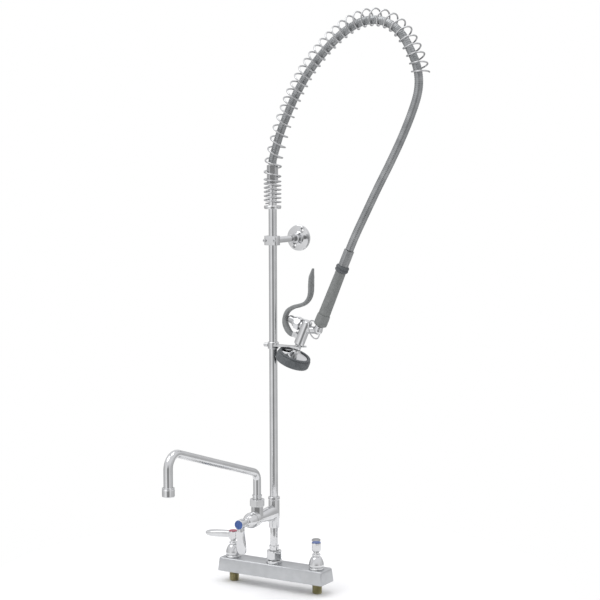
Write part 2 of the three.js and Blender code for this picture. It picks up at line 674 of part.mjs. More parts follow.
function addSprayBody(gun) {
  const top = -8;
  const shoulder = -61;
  const neckEnd = -73;
  const ball = { z: -14, radius: 9.4 };
  const main = turned([
    [0, neckEnd], [7, neckEnd], [7, shoulder - 1], [8.6, shoulder], [10.5, shoulder + 2.5],
    [10.5, top - 3], [8.5, top], [0, top],
  ]).translate(VALVE_X, 0, 0);
  const bridge = between(
    new THREE.Vector3(0, 0, ball.z),
    new THREE.Vector3(VALVE_X, 0, PLUNGER_Z - 6),
    7.6,
  );
  const inlet = turned([[0, ball.z], [8.4, ball.z], [8.4, -4.4], [0, -4.4]]);
  const sphere = new THREE.SphereGeometry(ball.radius, 20, 12).rotateX(Math.PI / 2).translate(0, 0, ball.z);
  const boss = acrossGun(rod(9, -VALVE_X, 40, 20));
  let body = solid(main).add(bridge).add(solid(inlet)).add(solid(sphere)).add(solid(boss));
  for (const side of [-1, 1]) {
    const y = side * 6.6;
    const ear = box(PIVOT.x - 4.4, VALVE_X - 2, y - 1.6, y + 1.6, PIVOT.z - 4.4, PIVOT.z + 4.4);
    body = body.add(solid(ear));
  }
  const outletWay = rod(4.2, neckEnd - 1, PLUNGER_Z).translate(VALVE_X, 0, 0);
  const inletWay = between(
    new THREE.Vector3(0, 0, ball.z + 0.5),
    new THREE.Vector3(VALVE_X + 4, 0, PLUNGER_Z - 5),
    3.6,
  );
  const slotForLever = box(PIVOT.x - 6, PIVOT.x + 4.95, -5, 5, PIVOT.z - 6, PIVOT.z + 7);
  body = body.subtract(solid(acrossGun(rod(5.8, 20, 41, 20)))).subtract(solid(outletWay))
    .subtract(inletWay).subtract(solid(rod(3.6, ball.z - 2, 0)))
    .subtract(solid(slotForLever))
    .subtract(solid(rodY(2.3, -10, 10, 14).translate(PIVOT.x, 0, PIVOT.z)));
  piece('spray_valve_body', body, 'chrome', gun);
}

function addPlunger(gun) {
  const bonnet = hexagon(13.7, 40.3, 52, 2.4).add(solid(rod(10.6, 51, 57)))
    .subtract(solid(rod(3, 39, 60, 16))).subtract(solid(rod(8.4, 45.5, 58, 20)));
  piece('plunger_bonnet', geometryFrom(bonnet, acrossGun), 'chrome', gun);
  const plunger = solid(turned([
    [0, 28.5], [2.6, 28.5], [2.6, 33], [4.8, 33], [4.8, 35], [2.6, 35.4], [2.6, 52.5],
    [8, 52.5], [8, 66.5], [7, 69], [4, 72.6], [0, 74.2],
  ], 16));
  piece('plunger', geometryFrom(plunger, acrossGun), 'steel', gun);
  piece('valve_return_spring', acrossGun(coil(4, 0.45, 20.8, 32.3, 5)), 'steel', gun);
}

function geometryFrom(manifold, place) {
  return place(geometryOf(manifold));
}

class Helix extends THREE.Curve {
  constructor(radius, bottom, top, turns) {
    super();
    Object.assign(this, { radius, bottom, top, turns });
  }

  getPoint(t, target = new THREE.Vector3()) {
    const angle = 2 * Math.PI * this.turns * t;
    const z = THREE.MathUtils.lerp(this.bottom, this.top, t);
    return target.set(this.radius * Math.cos(angle), this.radius * Math.sin(angle), z);
  }
}

function coil(radius, wire, bottom, top, turns) {
  return tube(new Helix(radius, bottom, top, turns), wire, 4, turns * 9);
}

// Centre line of the squeeze lever, [x, z] in the gun's frame, from the pin to the tip.
const LEVER_LINE = [
  [-42.5, -46], [-53, -49.4], [-64.5, -45], [-74.5, -36], [-79.6, -24], [-78.8, -10],
  [-70, 3], [-58.5, 12.5], [-48.4, 23], [-44.2, 36], [-45.6, 48], [-51, 62], [-57, 78], [-60.6, 95],
];
// Half thickness and half width of the lever along the same line.
const LEVER_HALF = [
  [4.2, 4.6], [5.4, 4.6], [6.4, 5.5], [5.8, 6.2], [4.5, 6.6], [4.4, 6.8], [4.2, 7], [4, 7.2],
  [3.8, 7.4], [4, 7.8], [4.4, 8.2], [4.6, 8.4], [4.2, 7.6], [1.6, 3],
];

function leverShape() {
  const path = new THREE.CatmullRomCurve3(LEVER_LINE.map(inPlane), false, 'centripetal');
  const last = LEVER_LINE.length - 1;
  const steps = 28;
  const sides = 10;
  const outlines = [];
  for (let k = 0; k <= steps; k += 1) {
    const t = k / steps;
    const at = t * last;
    const below = Math.min(Math.floor(at), last - 1);
    const mix = (n) => THREE.MathUtils.lerp(LEVER_HALF[below][n], LEVER_HALF[below + 1][n], at - below);
    const centre = path.getPoint(t);
    const tangent = path.getTangent(t);
    const across = new THREE.Vector3(tangent.z, 0, -tangent.x);
    const outline = [];
    for (let side = 0; side < sides; side += 1) {
      const angle = (2 * Math.PI * side) / sides;
      const point = centre.clone().addScaledVector(across, mix(0) * Math.cos(angle));
      point.y = mix(1) * Math.sin(angle);
      outline.push(point);
    }
    outlines.push(outline);
  }
  const eye = solid(rodY(4.6, -4.6, 4.6, 16).translate(PIVOT.x, 0, PIVOT.z));
  const pinHole = solid(rodY(2.3, -8, 8, 14).translate(PIVOT.x, 0, PIVOT.z));
  return solid(loft(outlines)).add(eye).subtract(pinHole);
}

function addLever(gun) {
  piece('squeeze_lever', leverShape(), 'lever', gun);
  const pin = rodY(2, -8.6, 8.6, 14).translate(PIVOT.x, 0, PIVOT.z);
  piece('lever_pin', pin, 'steel', gun);
}

function addHoldRing(gun) {
  const wireRing = new THREE.TorusGeometry(19, 1.3, 6, 28);
  wireRing.rotateY(THREE.MathUtils.degToRad(48));
  piece('hold_ring', wireRing.translate(-9, 0, -17.5), 'steel', gun);
}

function addGrip(gun) {
  const inner = 6.6;
  piece('handle_tube', ring(4.2, 6.2, -4, 127, 20), 'steel', gun);
  piece('grip_collar', turned([
    [inner, -2.5], [12, -2.5], [13.3, -1], [13.6, 9], [13.4, 20], [12.4, 22], [inner, 22], [inner, -2.5],
  ]), 'grip', gun);
  piece('grip', turned([
    [inner, 22.3], [11.9, 22.3], [12.1, 26], [11.9, 50], [11.3, 85], [10.7, 117.7], [inner, 117.7],
    [inner, 22.3],
  ]), 'grip', gun);
  piece('swivel_collar', turned([
    [inner, 118], [11.4, 118], [13.4, 119.6], [13.4, 122.8], [12.4, 124.2], [13.4, 125.6],
    [13.4, 128.8], [11.4, 130.4], [inner, 130.4], [inner, 118],
  ]), 'rubber', gun);
  const ferrule = hexagon(10.6, 131, GUN.length).subtract(solid(rod(4.6, 130, GUN.length + 1, 20)));
  piece('hose_ferrule', ferrule, 'steel', gun);
}

function addSprayHead(gun) {
  const bell = turned([
    [4.6, -73.3], [8.4, -73.3], [8.8, -76], [11, -79], [16.5, -82], [23.5, -84.6], [27.9, -86.2],
    [27.9, -95.4], [24, -95.4], [21, -90.5], [12, -84.4], [4.6, -80], [4.6, -73.3],
  ]);
  piece('spray_bell', bell.translate(VALVE_X, 0, 0), 'chrome', gun);
  const bumper = turned([
    [28.3, -83.9], [32.4, -83.2], [33.6, -84.4], [33.6, -87], [35.2, -88.4], [35.5, -100],
    [34.6, -103.4], [31.6, -105.4], [26.4, -105.4], [24.7, -103.6], [24.7, -96], [28.3, -95.8],
    [28.3, -83.9],
  ], 30);
  piece('bumper_ring', bumper.translate(VALVE_X, 0, 0), 'rubber', gun);
  let plate = solid(rod(24.2, -98.4, -95.8));
  for (const [count, radius] of [[6, 9], [12, 17]]) {
    for (let k = 0; k < count; k += 1) {
      const angle = (2 * Math.PI * k) / count;
      const hole = rod(1.3, -100, -94, 6).translate(radius * Math.cos(angle), radius * Math.sin(angle), 0);
      plate = plate.subtract(solid(hole));
    }
  }
  piece('spray_plate', plate.translate(VALVE_X, 0, 0), 'steel', gun);
}

function addSprayGun() {
  const gun = new THREE.Group();
  gun.position.set(GUN.x, 0, GUN.z);
  gun.rotation.y = THREE.MathUtils.degToRad(GUN.tilt);
  faucet.add(gun);
  addSprayBody(gun);
  addPlunger(gun);
  addLever(gun);
  addHoldRing(gun);
  addGrip(gun);
  addSprayHead(gun);
}

// ---------------------------------------------------------------- assembly

addBase();
addOutlet();
addValve('hot', [-VALVE_SPACING / 2, 0, BASE.height], Math.PI, 0, LEVER_REACH.base, 'red');
addValve(
  'cold', [VALVE_SPACING / 2, 0, BASE.height], THREE.MathUtils.degToRad(121), 0, LEVER_REACH.base, 'blue',
);
// The add-on valve lies with its axis along -Y and its lever hanging down.
addValve(
  'addon', [0, ADDON.valveY, ADDON.barrelZ], -Math.PI / 2, Math.PI / 2, LEVER_REACH.addon, 'blue',
);
addAddonBody();
addNozzle();
addRiser();
addBracket();
addHook();
addSpring();
addHose();
addSprayGun();

export default faucet;
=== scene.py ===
"""The finished look of a deck-mounted pre-rinse faucet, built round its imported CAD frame."""

import math

import bmesh
import bpy
from mathutils import Matrix, Vector


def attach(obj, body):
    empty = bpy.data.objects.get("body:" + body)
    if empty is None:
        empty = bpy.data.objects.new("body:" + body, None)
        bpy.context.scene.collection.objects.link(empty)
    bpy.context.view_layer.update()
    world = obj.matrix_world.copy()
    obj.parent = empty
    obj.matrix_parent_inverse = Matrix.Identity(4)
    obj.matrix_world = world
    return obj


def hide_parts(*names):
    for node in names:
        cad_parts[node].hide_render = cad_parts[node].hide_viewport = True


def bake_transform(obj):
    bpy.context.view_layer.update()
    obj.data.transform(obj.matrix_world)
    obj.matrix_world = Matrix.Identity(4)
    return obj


MM = 0.001
TAU = 2 * math.pi

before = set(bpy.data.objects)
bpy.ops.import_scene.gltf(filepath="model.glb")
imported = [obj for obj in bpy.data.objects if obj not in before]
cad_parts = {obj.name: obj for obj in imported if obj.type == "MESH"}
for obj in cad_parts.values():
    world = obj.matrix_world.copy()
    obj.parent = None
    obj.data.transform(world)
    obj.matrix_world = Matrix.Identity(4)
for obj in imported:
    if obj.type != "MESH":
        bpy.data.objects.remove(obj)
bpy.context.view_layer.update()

# ------------------------------------------------------------------ sizes, in millimetres

BASE = {"half_length": 127, "front": -23, "back": 28.5, "height": 28.5, "shank_y": 3}
PIPE = 8.3
VALVE_X = 101.6
ADDON = {"bottom": 103, "top": 168, "z": 135, "valve_y": -79}
NOZZLE = {"y": -64.5, "reach": 308, "tube": 7.95, "flare": 0.95, "elbow_z": 228.6, "slope": 17.2}
BRACKET_Z = 698.6
HOOK_Z = 482
GUN = {"x": 112.3, "z": 533.4, "tilt": 23.9, "length": 165}
SPRAY_X = -28.6  # the spray valve's axis in the gun's frame
PLUNGER_Z = -22
PIN = (-42.5, -46)

# The free hose's centre line in the XZ plane, the same route as in the CAD.
HOSE_ROUTE = [
    (0, 852.6), (0.3, 860), (3.2, 871), (8.5, 887), (16, 909), (26, 933), (40, 962), (59, 997),
    (84, 1034), (112, 1066), (144, 1096), (177.7, 1119), (209.9, 1131.8), (241.5, 1133.4),
    (271, 1123.5), (294.8, 1103.8), (312.5, 1076), (325, 1049), (331, 1026), (331.6, 1005),
    (328, 985), (320.5, 963), (308.5, 934), (292, 899), (268.8, 854.9), (242.5, 807.9),
    (217, 760), (195.5, 719), (185.3, 698),
]
HOSE_RADIUS = 8.4
RIB_PITCH = 3.9
SPRING = {"bottom": 773.4, "radius": 16.5, "wire": 1.65, "last_point": 18}
SPRING_PITCH = [(0, 8.3), (46, 8.3), (62, 20), (80, 22.5), (165, 22), (220, 16.9), (600, 16.9)]
SPRING_OFFSET = [(0, 0), (60, 0), (90, -2.2), (120, -1.5), (160, 1.2), (240, 4.2), (300, 5.6)]


# ------------------------------------------------------------------ materials

class Nodes:
    """A material's node tree, with short calls for the few nodes used here."""

    def __init__(self, name):
        self.material = bpy.data.materials.new(name)
        self.material.use_nodes = True
        self.tree = self.material.node_tree
        self.shader = self.tree.nodes["Principled BSDF"]
        self.place = self.add("ShaderNodeTexCoord").outputs["Object"]

    def add(self, kind, **settings):
        node = self.tree.nodes.new(kind)
        for key, value in settings.items():
            setattr(node, key, value)
        return node

    def link(self, output, target):
        self.tree.links.new(output, target)

    def stretched(self, scale):
        mapping = self.add("ShaderNodeMapping")
        mapping.inputs["Scale"].default_value = scale
        self.link(self.place, mapping.inputs["Vector"])
        return mapping.outputs["Vector"]

    def noise(self, scale, detail=4.0, rough=0.55, vector=None):
        node = self.add("ShaderNodeTexNoise")
        node.inputs["Scale"].default_value = scale
        node.inputs["Detail"].default_value = detail
        node.inputs["Roughness"].default_value = rough
        self.link(vector or self.place, node.inputs["Vector"])
        return node.outputs["Fac"]

    def ramp(self, value, *stops):
        node = self.add("ShaderNodeValToRGB")
        elements = node.color_ramp.elements
        while len(elements) < len(stops):
            elements.new(0.5)
        for element, (position, colour) in zip(elements, stops):
            element.position = position
            element.color = (*colour, 1)
        self.link(value, node.inputs["Fac"])
        return node.outputs["Color"]

    def span(self, value, low, high, target):
        node = self.add("ShaderNodeMapRange")
        node.inputs["From Min"].default_value = 0.3
        node.inputs["From Max"].default_value = 0.7
        node.inputs["To Min"].default_value = low
        node.inputs["To Max"].default_value = high
        self.link(value, node.inputs["Value"])
        self.link(node.outputs["Result"], self.shader.inputs[target])

    def bump(self, value, strength, distance, under=None):
        node = self.add("ShaderNodeBump")
        node.inputs["Strength"].default_value = strength
        node.inputs["Distance"].default_value = distance
        self.link(value, node.inputs["Height"])
        if under is not None:
            self.link(under, node.inputs["Normal"])
        self.link(node.outputs["Normal"], self.shader.inputs["Normal"])
        return node.outputs["Normal"]


def metal(name, dark, light, smooth, rough, grain=(1, 1, 1), grain_scale=400, depth=0.00002):
    """A metal with cloudy smears in its gloss and a fine directional grain."""
    n = Nodes(name)
    n.shader.inputs["Metallic"].default_value = 1.0
    clouds = n.noise(38, 5, 0.6)
    n.link(n.ramp(clouds, (0.32, dark), (0.68, light)), n.shader.inputs["Base Color"])
    n.span(n.noise(90, 6, 0.65), smooth, rough, "Roughness")
    lines = n.noise(grain_scale, 3, 0.5, n.stretched(grain))
    n.bump(lines, 0.25, depth)
    return n.material


def plastic(name, dark, light, smooth, rough, grain_scale, depth, speck=None):
    """A moulded surface with a fine grain, slight mottling and, if asked, pale dust specks."""
    n = Nodes(name)
    mottle = n.noise(130, 5, 0.6)
    colour = n.ramp(mottle, (0.3, dark), (0.7, light))
    if speck:
        mix = n.add("ShaderNodeMix", data_type="RGBA")
        specks = n.ramp(n.noise(1500, 2, 0.5), (0.66, (0, 0, 0)), (0.72, (0.6, 0.6, 0.6)))
        n.link(specks, mix.inputs["Factor"])
        n.link(colour, mix.inputs["A"])
        mix.inputs["B"].default_value = (*speck, 1)
        colour = mix.outputs["Result"]
    n.link(colour, n.shader.inputs["Base Color"])
    n.span(n.noise(220, 5, 0.6), smooth, rough, "Roughness")
    fine = n.bump(n.noise(grain_scale, 3, 0.6), 0.35, depth)
    n.bump(n.noise(60, 2, 0.5), 0.12, depth * 6, fine)
    return n.material


FINISHES = {
    "chrome": metal("chrome", (0.6, 0.605, 0.61), (0.67, 0.675, 0.68), 0.05, 0.11, depth=0.000005),
    "satin_chrome": metal(
        "satin_chrome", (0.46, 0.47, 0.48), (0.53, 0.54, 0.55), 0.3, 0.4, (0.06, 1, 1), 900, 0.00003
    ),
    "spring_chrome": metal("spring_chrome", (0.5, 0.505, 0.51), (0.6, 0.605, 0.61), 0.08, 0.16),
    "brass": metal("brass", (0.3, 0.28, 0.16), (0.5, 0.46, 0.3), 0.28, 0.48, depth=0.00004),
    "steel": metal("steel", (0.46, 0.465, 0.47), (0.6, 0.605, 0.61), 0.16, 0.28, (1, 1, 0.1), 700),
    "hose_steel": metal("hose_steel", (0.27, 0.28, 0.285), (0.42, 0.43, 0.435), 0.3, 0.46),
    "ferrule_steel": metal(
        "ferrule_steel", (0.34, 0.35, 0.355), (0.46, 0.47, 0.475), 0.36, 0.52, depth=0.00004
    ),
    "grip_grey": plastic(
        "grip_grey", (0.19, 0.2, 0.195), (0.25, 0.26, 0.255), 0.38, 0.52, 1500, 0.00005, (0.4, 0.4, 0.4)
    ),
    "lever_grey": plastic(
        "lever_grey", (0.2, 0.21, 0.21), (0.27, 0.28, 0.28), 0.3, 0.44, 900, 0.00005
    ),
    "bumper_rubber": plastic(
        "bumper_rubber", (0.085, 0.092, 0.098), (0.13, 0.14, 0.147), 0.5, 0.68, 1700, 0.00006,
        (0.22, 0.23, 0.24),
    ),
    "seal_rubber": plastic(
        "seal_rubber", (0.012, 0.012, 0.012), (0.03, 0.03, 0.03), 0.5, 0.7, 1500, 0.00004
    ),
    "index_red": plastic("index_red", (0.27, 0.02, 0.055), (0.38, 0.045, 0.09), 0.2, 0.34, 600, 0.00002),
    "index_blue": plastic(
        "index_blue", (0.03, 0.075, 0.25), (0.055, 0.12, 0.36), 0.2, 0.34, 600, 0.00002
    ),
}


# ------------------------------------------------------------------ shapes, in millimetres

def soften(profile, radius):
    """Rounds a profile's corners with short arcs, leaving its ends and points on the axis."""
    closed = profile[0] == profile[-1]
    points = [Vector(p) for p in (profile[:-1] if closed else profile)]
    count = len(points)
    made = []
    for k, point in enumerate(points):
        if not closed and k in (0, count - 1):
            made.append(point)
            continue
        before = points[k - 1] - point
        after = points[(k + 1) % count] - point
        turn = before.angle(-after) if before.length > 1e-6 and after.length > 1e-6 else 0
        if point.x < 1e-6 or turn < 0.15:
            made.append(point)
            continue
        cut = min(radius * math.tan(turn / 2), before.length * 0.45, after.length * 0.45)
        start = point + before.normalized() * cut
        end = point + after.normalized() * cut
        steps = 4
        for s in range(steps + 1):
            t = s / steps
            made.append(start.lerp(point, t).lerp(point.lerp(end, t), t))
    if closed:
        made.append(made[0].copy())
    return made


def turned(profile, sides=72, soft=0.5):
    """Turns (radius, height) points about Z."""
    points = soften(profile, soft)
    closed = (points[0] - points[-1]).length < 1e-9
    if closed:
        points = points[:-1]
    verts, rings = [], []
    for radius, height in points:
        if radius < 1e-6:
            rings.append([len(verts)] * sides)
            verts.append((0, 0, height))
            continue
        rings.append(list(range(len(verts), len(verts) + sides)))
        for k in range(sides):
            angle = TAU * k / sides
            verts.append((radius * math.cos(angle), radius * math.sin(angle), height))
    pairs = list(zip(rings, rings[1:] + ([rings[0]] if closed else [])))
    faces = []
    for low, high in pairs:
        for k in range(sides):
            n = (k + 1) % sides
            corners = [low[k], low[n], high[n], high[k]]
            faces.append(list(dict.fromkeys(corners)))
    return verts, [f for f in faces if len(f) > 2]


def ring(inner, outer, bottom, top, sides=72, soft=0.4):
    return turned(
        [(inner, bottom), (outer, bottom), (outer, top), (inner, top), (inner, bottom)], sides, soft
    )


def rod(radius, bottom, top, sides=48, soft=0.4):
    return turned([(0, bottom), (radius, bottom), (radius, top), (0, top)], sides, soft)


def hexagon(corner, bottom, top, bore, crown=None, steps=20):
    """A nut: a hexagon whose corners a turning tool has rounded down at both ends."""
    flat = corner * math.cos(math.pi / 6)
    height = top - bottom
    crown = crown or corner * 0.12
    ends = [0, 0.06, 0.14, 0.26, 0.42, 0.62, 0.82, 1]
    levels = [crown * share for share in ends] + [height - crown * share for share in reversed(ends)]
    sides = 6 * steps
    verts, rings = [], []
    for level in levels:
        short = 1 - min(level, height - level, crown) / crown
        limit = corner - crown * (1 - math.sqrt(1 - min(short, 0.995) ** 2))
        row = []
        for k in range(sides):
            angle = TAU * k / sides
            within = (angle + math.pi / 6) % (math.pi / 3) - math.pi / 6
            across = min(flat / math.cos(within), corner - 0.35, limit)
            row.append(len(verts))
            verts.append((across * math.cos(angle), across * math.sin(angle), bottom + level))
        rings.append(row)
    for z in (top, bottom):
        row = []
        for k in range(sides):
            angle = TAU * k / sides
            row.append(len(verts))
            verts.append((bore * math.cos(angle), bore * math.sin(angle), z))
        rings.append(row)
    faces = []
    for low, high in zip(rings, rings[1:] + [rings[0]]):
        for k in range(sides):
            n = (k + 1) % sides
            faces.append([low[k], low[n], high[n], high[k]])
    return verts, faces


def loft(outlines):
    count = len(outlines[0])
    verts = [tuple(p) for outline in outlines for p in outline]
    faces = []
    for r in range(len(outlines) - 1):
        low, high = r * count, (r + 1) * count
        for k in range(count):
            n = (k + 1) % count
            faces.append([low + k, low + n, high + n, high + k])
    faces.append(list(range(count)))
    faces.append(list(range((len(outlines) - 1) * count, len(outlines) * count)))
    return verts, faces


def slab(outline, low, high):
    """A flat plate cut to an outline of (x, y) points."""
    return loft([[(x, y, z) for x, y in outline] for z in (low, high)])


def arc(x, y, radius, start, end, steps=16):
    found = []
    for k in range(steps + 1):
        angle = math.radians(start + (end - start) * k / steps)
        found.append((x + radius * math.cos(angle), y + radius * math.sin(angle)))
    return found


def spline(points, steps):
    """A smooth centre line through points: steps even samples of a centripetal Catmull-Rom curve."""
    points = [Vector(p) for p in points]
    ends = [points[0] * 2 - points[1], *points, points[-1] * 2 - points[-2]]
    dense = []
    for k in range(len(points) - 1):
        p0, p1, p2, p3 = ends[k:k + 4]
        d01, d12, d23 = ((b - a).length ** 0.5 for a, b in ((p0, p1), (p1, p2), (p2, p3)))
        m1 = ((p1 - p0) / d01 - (p2 - p0) / (d01 + d12) + (p2 - p1) / d12) * d12
        m2 = ((p2 - p1) / d12 - (p3 - p1) / (d12 + d23) + (p3 - p2) / d23) * d12
        for s in range(40):
            t = s / 40
            dense.append(
                p1 * (2 * t**3 - 3 * t**2 + 1) + m1 * (t**3 - 2 * t**2 + t)
                + p2 * (3 * t**2 - 2 * t**3) + m2 * (t**3 - t**2)
            )
    dense.append(points[-1])
    return evenly(dense, steps)


def evenly(line, steps):
    lengths = [0]
    for a, b in zip(line, line[1:]):
        lengths.append(lengths[-1] + (b - a).length)
    found, k = [], 0
    for s in range(steps + 1):
        at = lengths[-1] * s / steps
        while k < len(line) - 2 and lengths[k + 1] < at:
            k += 1
        span = max(lengths[k + 1] - lengths[k], 1e-9)
        found.append(line[k].lerp(line[k + 1], (at - lengths[k]) / span))
    return found


def line_length(line):
    return sum((b - a).length for a, b in zip(line, line[1:]))


def swept(line, section, up=Vector((0, 1, 0))):
    """Sweeps section(k) = [(across, along up), ...] along a line that lies square to up."""
    outlines = []
    last = len(line) - 1
    for k, point in enumerate(line):
        tangent = (line[min(k + 1, last)] - line[max(k - 1, 0)]).normalized()
        across = up.cross(tangent).normalized()
        outlines.append([point + across * a + up * b for a, b in section(k)])
    return loft(outlines)


def circle(radius, sides):
    return [(radius * math.cos(TAU * k / sides), radius * math.sin(TAU * k / sides)) for k in range(sides)]


def oval(half_a, half_b, sides=24, squareness=0.75):
    def bend(v):
        return math.copysign(abs(v) ** squareness, v)
    return [(half_a * bend(math.cos(TAU * k / sides)), half_b * bend(math.sin(TAU * k / sides)))
            for k in range(sides)]


def table_at(table, at, smooth=True):
    if at >= table[-1][0]:
        return table[-1][1]
    for (x0, y0), (x1, y1) in zip(table, table[1:]):
        if x0 <= at < x1:
            t = (at - x0) / (x1 - x0)
            return y0 + (y1 - y0) * (t * t * (3 - 2 * t) if smooth else t)
    return table[0][1]


# ------------------------------------------------------------------ making pieces

def moved(shape, matrix):
    verts, faces = shape
    return [tuple(matrix @ Vector(v)) for v in verts], faces


def at(x=0, y=0, z=0):
    return Matrix.Translation((x, y, z))


def turn(degrees, axis):
    return Matrix.Rotation(math.radians(degrees), 4, axis)


def together(*shapes):
    verts, faces = [], []
    for v, f in shapes:
        first = len(verts)
        verts.extend(v)
        faces.extend([i + first for i in face] for face in f)
    return verts, faces


def mesh_of(name, shape, place=None):
    matrix = Matrix.Diagonal((MM, MM, MM, 1)) @ (place or Matrix.Identity(4))
    verts, faces = shape
    mesh = bpy.data.meshes.new(name)
    mesh.from_pydata([tuple(matrix @ Vector(v)) for v in verts], [], faces)
    work = bmesh.new()
    work.from_mesh(mesh)
    bmesh.ops.remove_doubles(work, verts=work.verts, dist=1e-8)
    bmesh.ops.recalc_face_normals(work, faces=work.faces)
    work.to_mesh(mesh)
    work.free()
    return mesh


def object_of(name, mesh):
    made = bpy.data.objects.new(name, mesh)
    bpy.context.scene.collection.objects.link(made)
    return made


def finished(made, finish, body, stands_for, sharp=38):
    mesh = made.data
    mesh.shade_smooth()
    mesh.set_sharp_from_angle(angle=math.radians(sharp))
    mesh.materials.clear()
    mesh.materials.append(FINISHES[finish])
    if body:
        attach(made, body)
    if stands_for:
        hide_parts(*stands_for)
    return made


def piece(name, shape, finish, body, *stands_for, place=None, sharp=38):
    return finished(object_of(name, mesh_of(name, shape, place)), finish, body, stands_for, sharp)


def carved(name, shape, cutters, finish, body, *stands_for, place=None, joins=(), edge=0.0, sharp=38):
    """A piece made by joining solids and cutting others away, its new edges slightly rounded."""
    made = object_of(name, mesh_of(name, shape, place))
    tools = []
    for kind, shapes in (("UNION", joins), ("DIFFERENCE", cutters)):
        for k, tool_shape in enumerate(shapes):
            tool = object_of(f"{name}_{kind}_{k}", mesh_of("tool", tool_shape, place))
            modifier = made.modifiers.new(kind, "BOOLEAN")
            modifier.operation = kind
            modifier.solver = "EXACT"
            modifier.object = tool
            tools.append(tool)
    if edge:
        bevel = made.modifiers.new("edge", "BEVEL")
        bevel.width = edge * MM
        bevel.segments = 2
        bevel.limit_method = "ANGLE"
        bevel.angle_limit = math.radians(40)
    settled = bpy.data.meshes.new_from_object(
        made.evaluated_get(bpy.context.evaluated_depsgraph_get())
    )
    made.modifiers.clear()
    made.data = settled
    for tool in tools:
        bpy.data.objects.remove(tool)
    return finished(made, finish, body, stands_for, sharp)


ROOT = "faucet_base"


# ------------------------------------------------------------------ mixing base and outlet

def rounded_rectangle(half_x, half_y, radius, z, steps=8):
    outline = []
    for corner, (sx, sy) in enumerate(((1, 1), (-1, 1), (-1, -1), (1, -1))):
        for x, y in arc(sx * (half_x - radius), sy * (half_y - radius), radius,
                        corner * 90, corner * 90 + 90, steps):
            outline.append((x, y, z))
    return outline


def make_base():
    length, height = BASE["half_length"], BASE["height"]
    front, back = BASE["front"], BASE["back"]
    width, middle = (back - front) / 2, (back + front) / 2
    # Height, how far the ends and the sides have drawn in, and the corner radius.
    rows = [(0, 0.4, 0.4, 3.5), (0.5, 0, 0, 3.5), (height - 5, 1.8, 2.6, 3.5), (height - 3.2, 2.1, 3, 3.4),
            (height - 2, 2.5, 3.5, 3.2), (height - 1, 3.2, 4.2, 2.9), (height - 0.35, 4.1, 5.1, 2.5),
            (height, 5.3, 6.3, 2.2)]
    body = loft([[(x, y + middle, z) for x, y, _ in
                  rounded_rectangle(length - end, width - side, corner, z)]
                 for z, end, side, corner in rows])
    near, far = 32, VALVE_X - 20
    hollows = []
    for side in (-1, 1):
        outline = [(side * near, front + 6), (side * far, front + 6), (side * far, back - 6),
                   (side * near, back - 6)]
        hollows.append(slab(outline, -1, 10))
    carved("mixing_base", body, hollows, "satin_chrome", ROOT, "deck_body", edge=0.4, sharp=30)
    # Grooves stand in for the inlet threads.
    root, crest, pitch = 9.0, 10, 1.81
    for name, side in (("hot", -1), ("cold", 1)):
        threads = []
        z = -22.6
        while z < -4.6:
            threads += [(root, z), (crest, z + 0.75), (crest, z + 1.05), (root, z + 1.8)]
            z += pitch
        profile = [(4.5, -23), (8.8, -23), *threads, (9.4, -3.6), (15.2, -3.6), (15.5, -3.2),
                   (15.5, -0.3), (4.5, -0.3), (4.5, -23)]
        piece(f"shank_{name}", turned(profile, 64, 0.12), "brass", ROOT, f"inlet_shank_{name}",
              place=at(side * VALVE_X, BASE["shank_y"]))


def make_outlet():
    bore = PIPE + 0.05
    base = BASE["height"]
    piece("outlet_seat", turned([
        (bore, base + 0.1), (16.5, base + 0.1), (16.5, 33.2), (15.9, 34.2), (13.4, 34.8), (11.6, 35.2),
        (11.6, 36.4), (bore, 36.4), (bore, base + 0.1),
    ], soft=0.6), "chrome", ROOT, "outlet_ring")
    piece("outlet_swivel_nut", hexagon(17.3, 36.8, 54.5, bore, 3.6), "chrome", ROOT, "outlet_nut",
          place=turn(30, "Z"), sharp=25)
    piece("outlet_collar", turned([
        (bore, 54.8), (9.7, 54.8), (9.7, 61.5), (10.3, 62.2), (10.3, 65.4), (bore, 65.4), (bore, 54.8),
    ]), "chrome", ROOT, "outlet_sleeve")
    piece("outlet_pipe", ring(6.2, PIPE, 14.5, 113), "chrome", ROOT, "outlet_nipple")


# ------------------------------------------------------------------ valves and lever handles

# Reach, half width, top and bottom of a lever's blade.
BLADE = [
    (3, 6.0, 54.2, 40.4), (8, 6.7, 54.2, 40), (14, 7.05, 54.2, 39.6), (20, 7.2, 54, 39),
    (28, 7.6, 53.4, 38.3), (38, 8.5, 52.4, 37.6), (48, 9.5, 51.2, 37.4), (56, 9.9, 50, 37.6),
    (62, 9.1, 48.9, 38.5), (65.5, 7.0, 47.8, 39.8), (67, 5.2, 46.9, 41),
]


def blade(tip_reach):
    """A lever's blade, drawn out or shortened to end at the given reach."""
    share = tip_reach / BLADE[-1][0]
    tops = spline([(r, w, t) for r, w, t, b in BLADE], 44)
    lows = spline([(r, w, b) for r, w, t, b in BLADE], 44)
    outlines = []
    for top, low in zip(tops, lows):
        middle = (top.z + low.z) / 2
        outlines.append([
            (share * top.x, a, middle + b)
            for a, b in oval(top.y, (top.z - low.z) / 2, 28, 0.72)
        ])
    return loft(outlines)


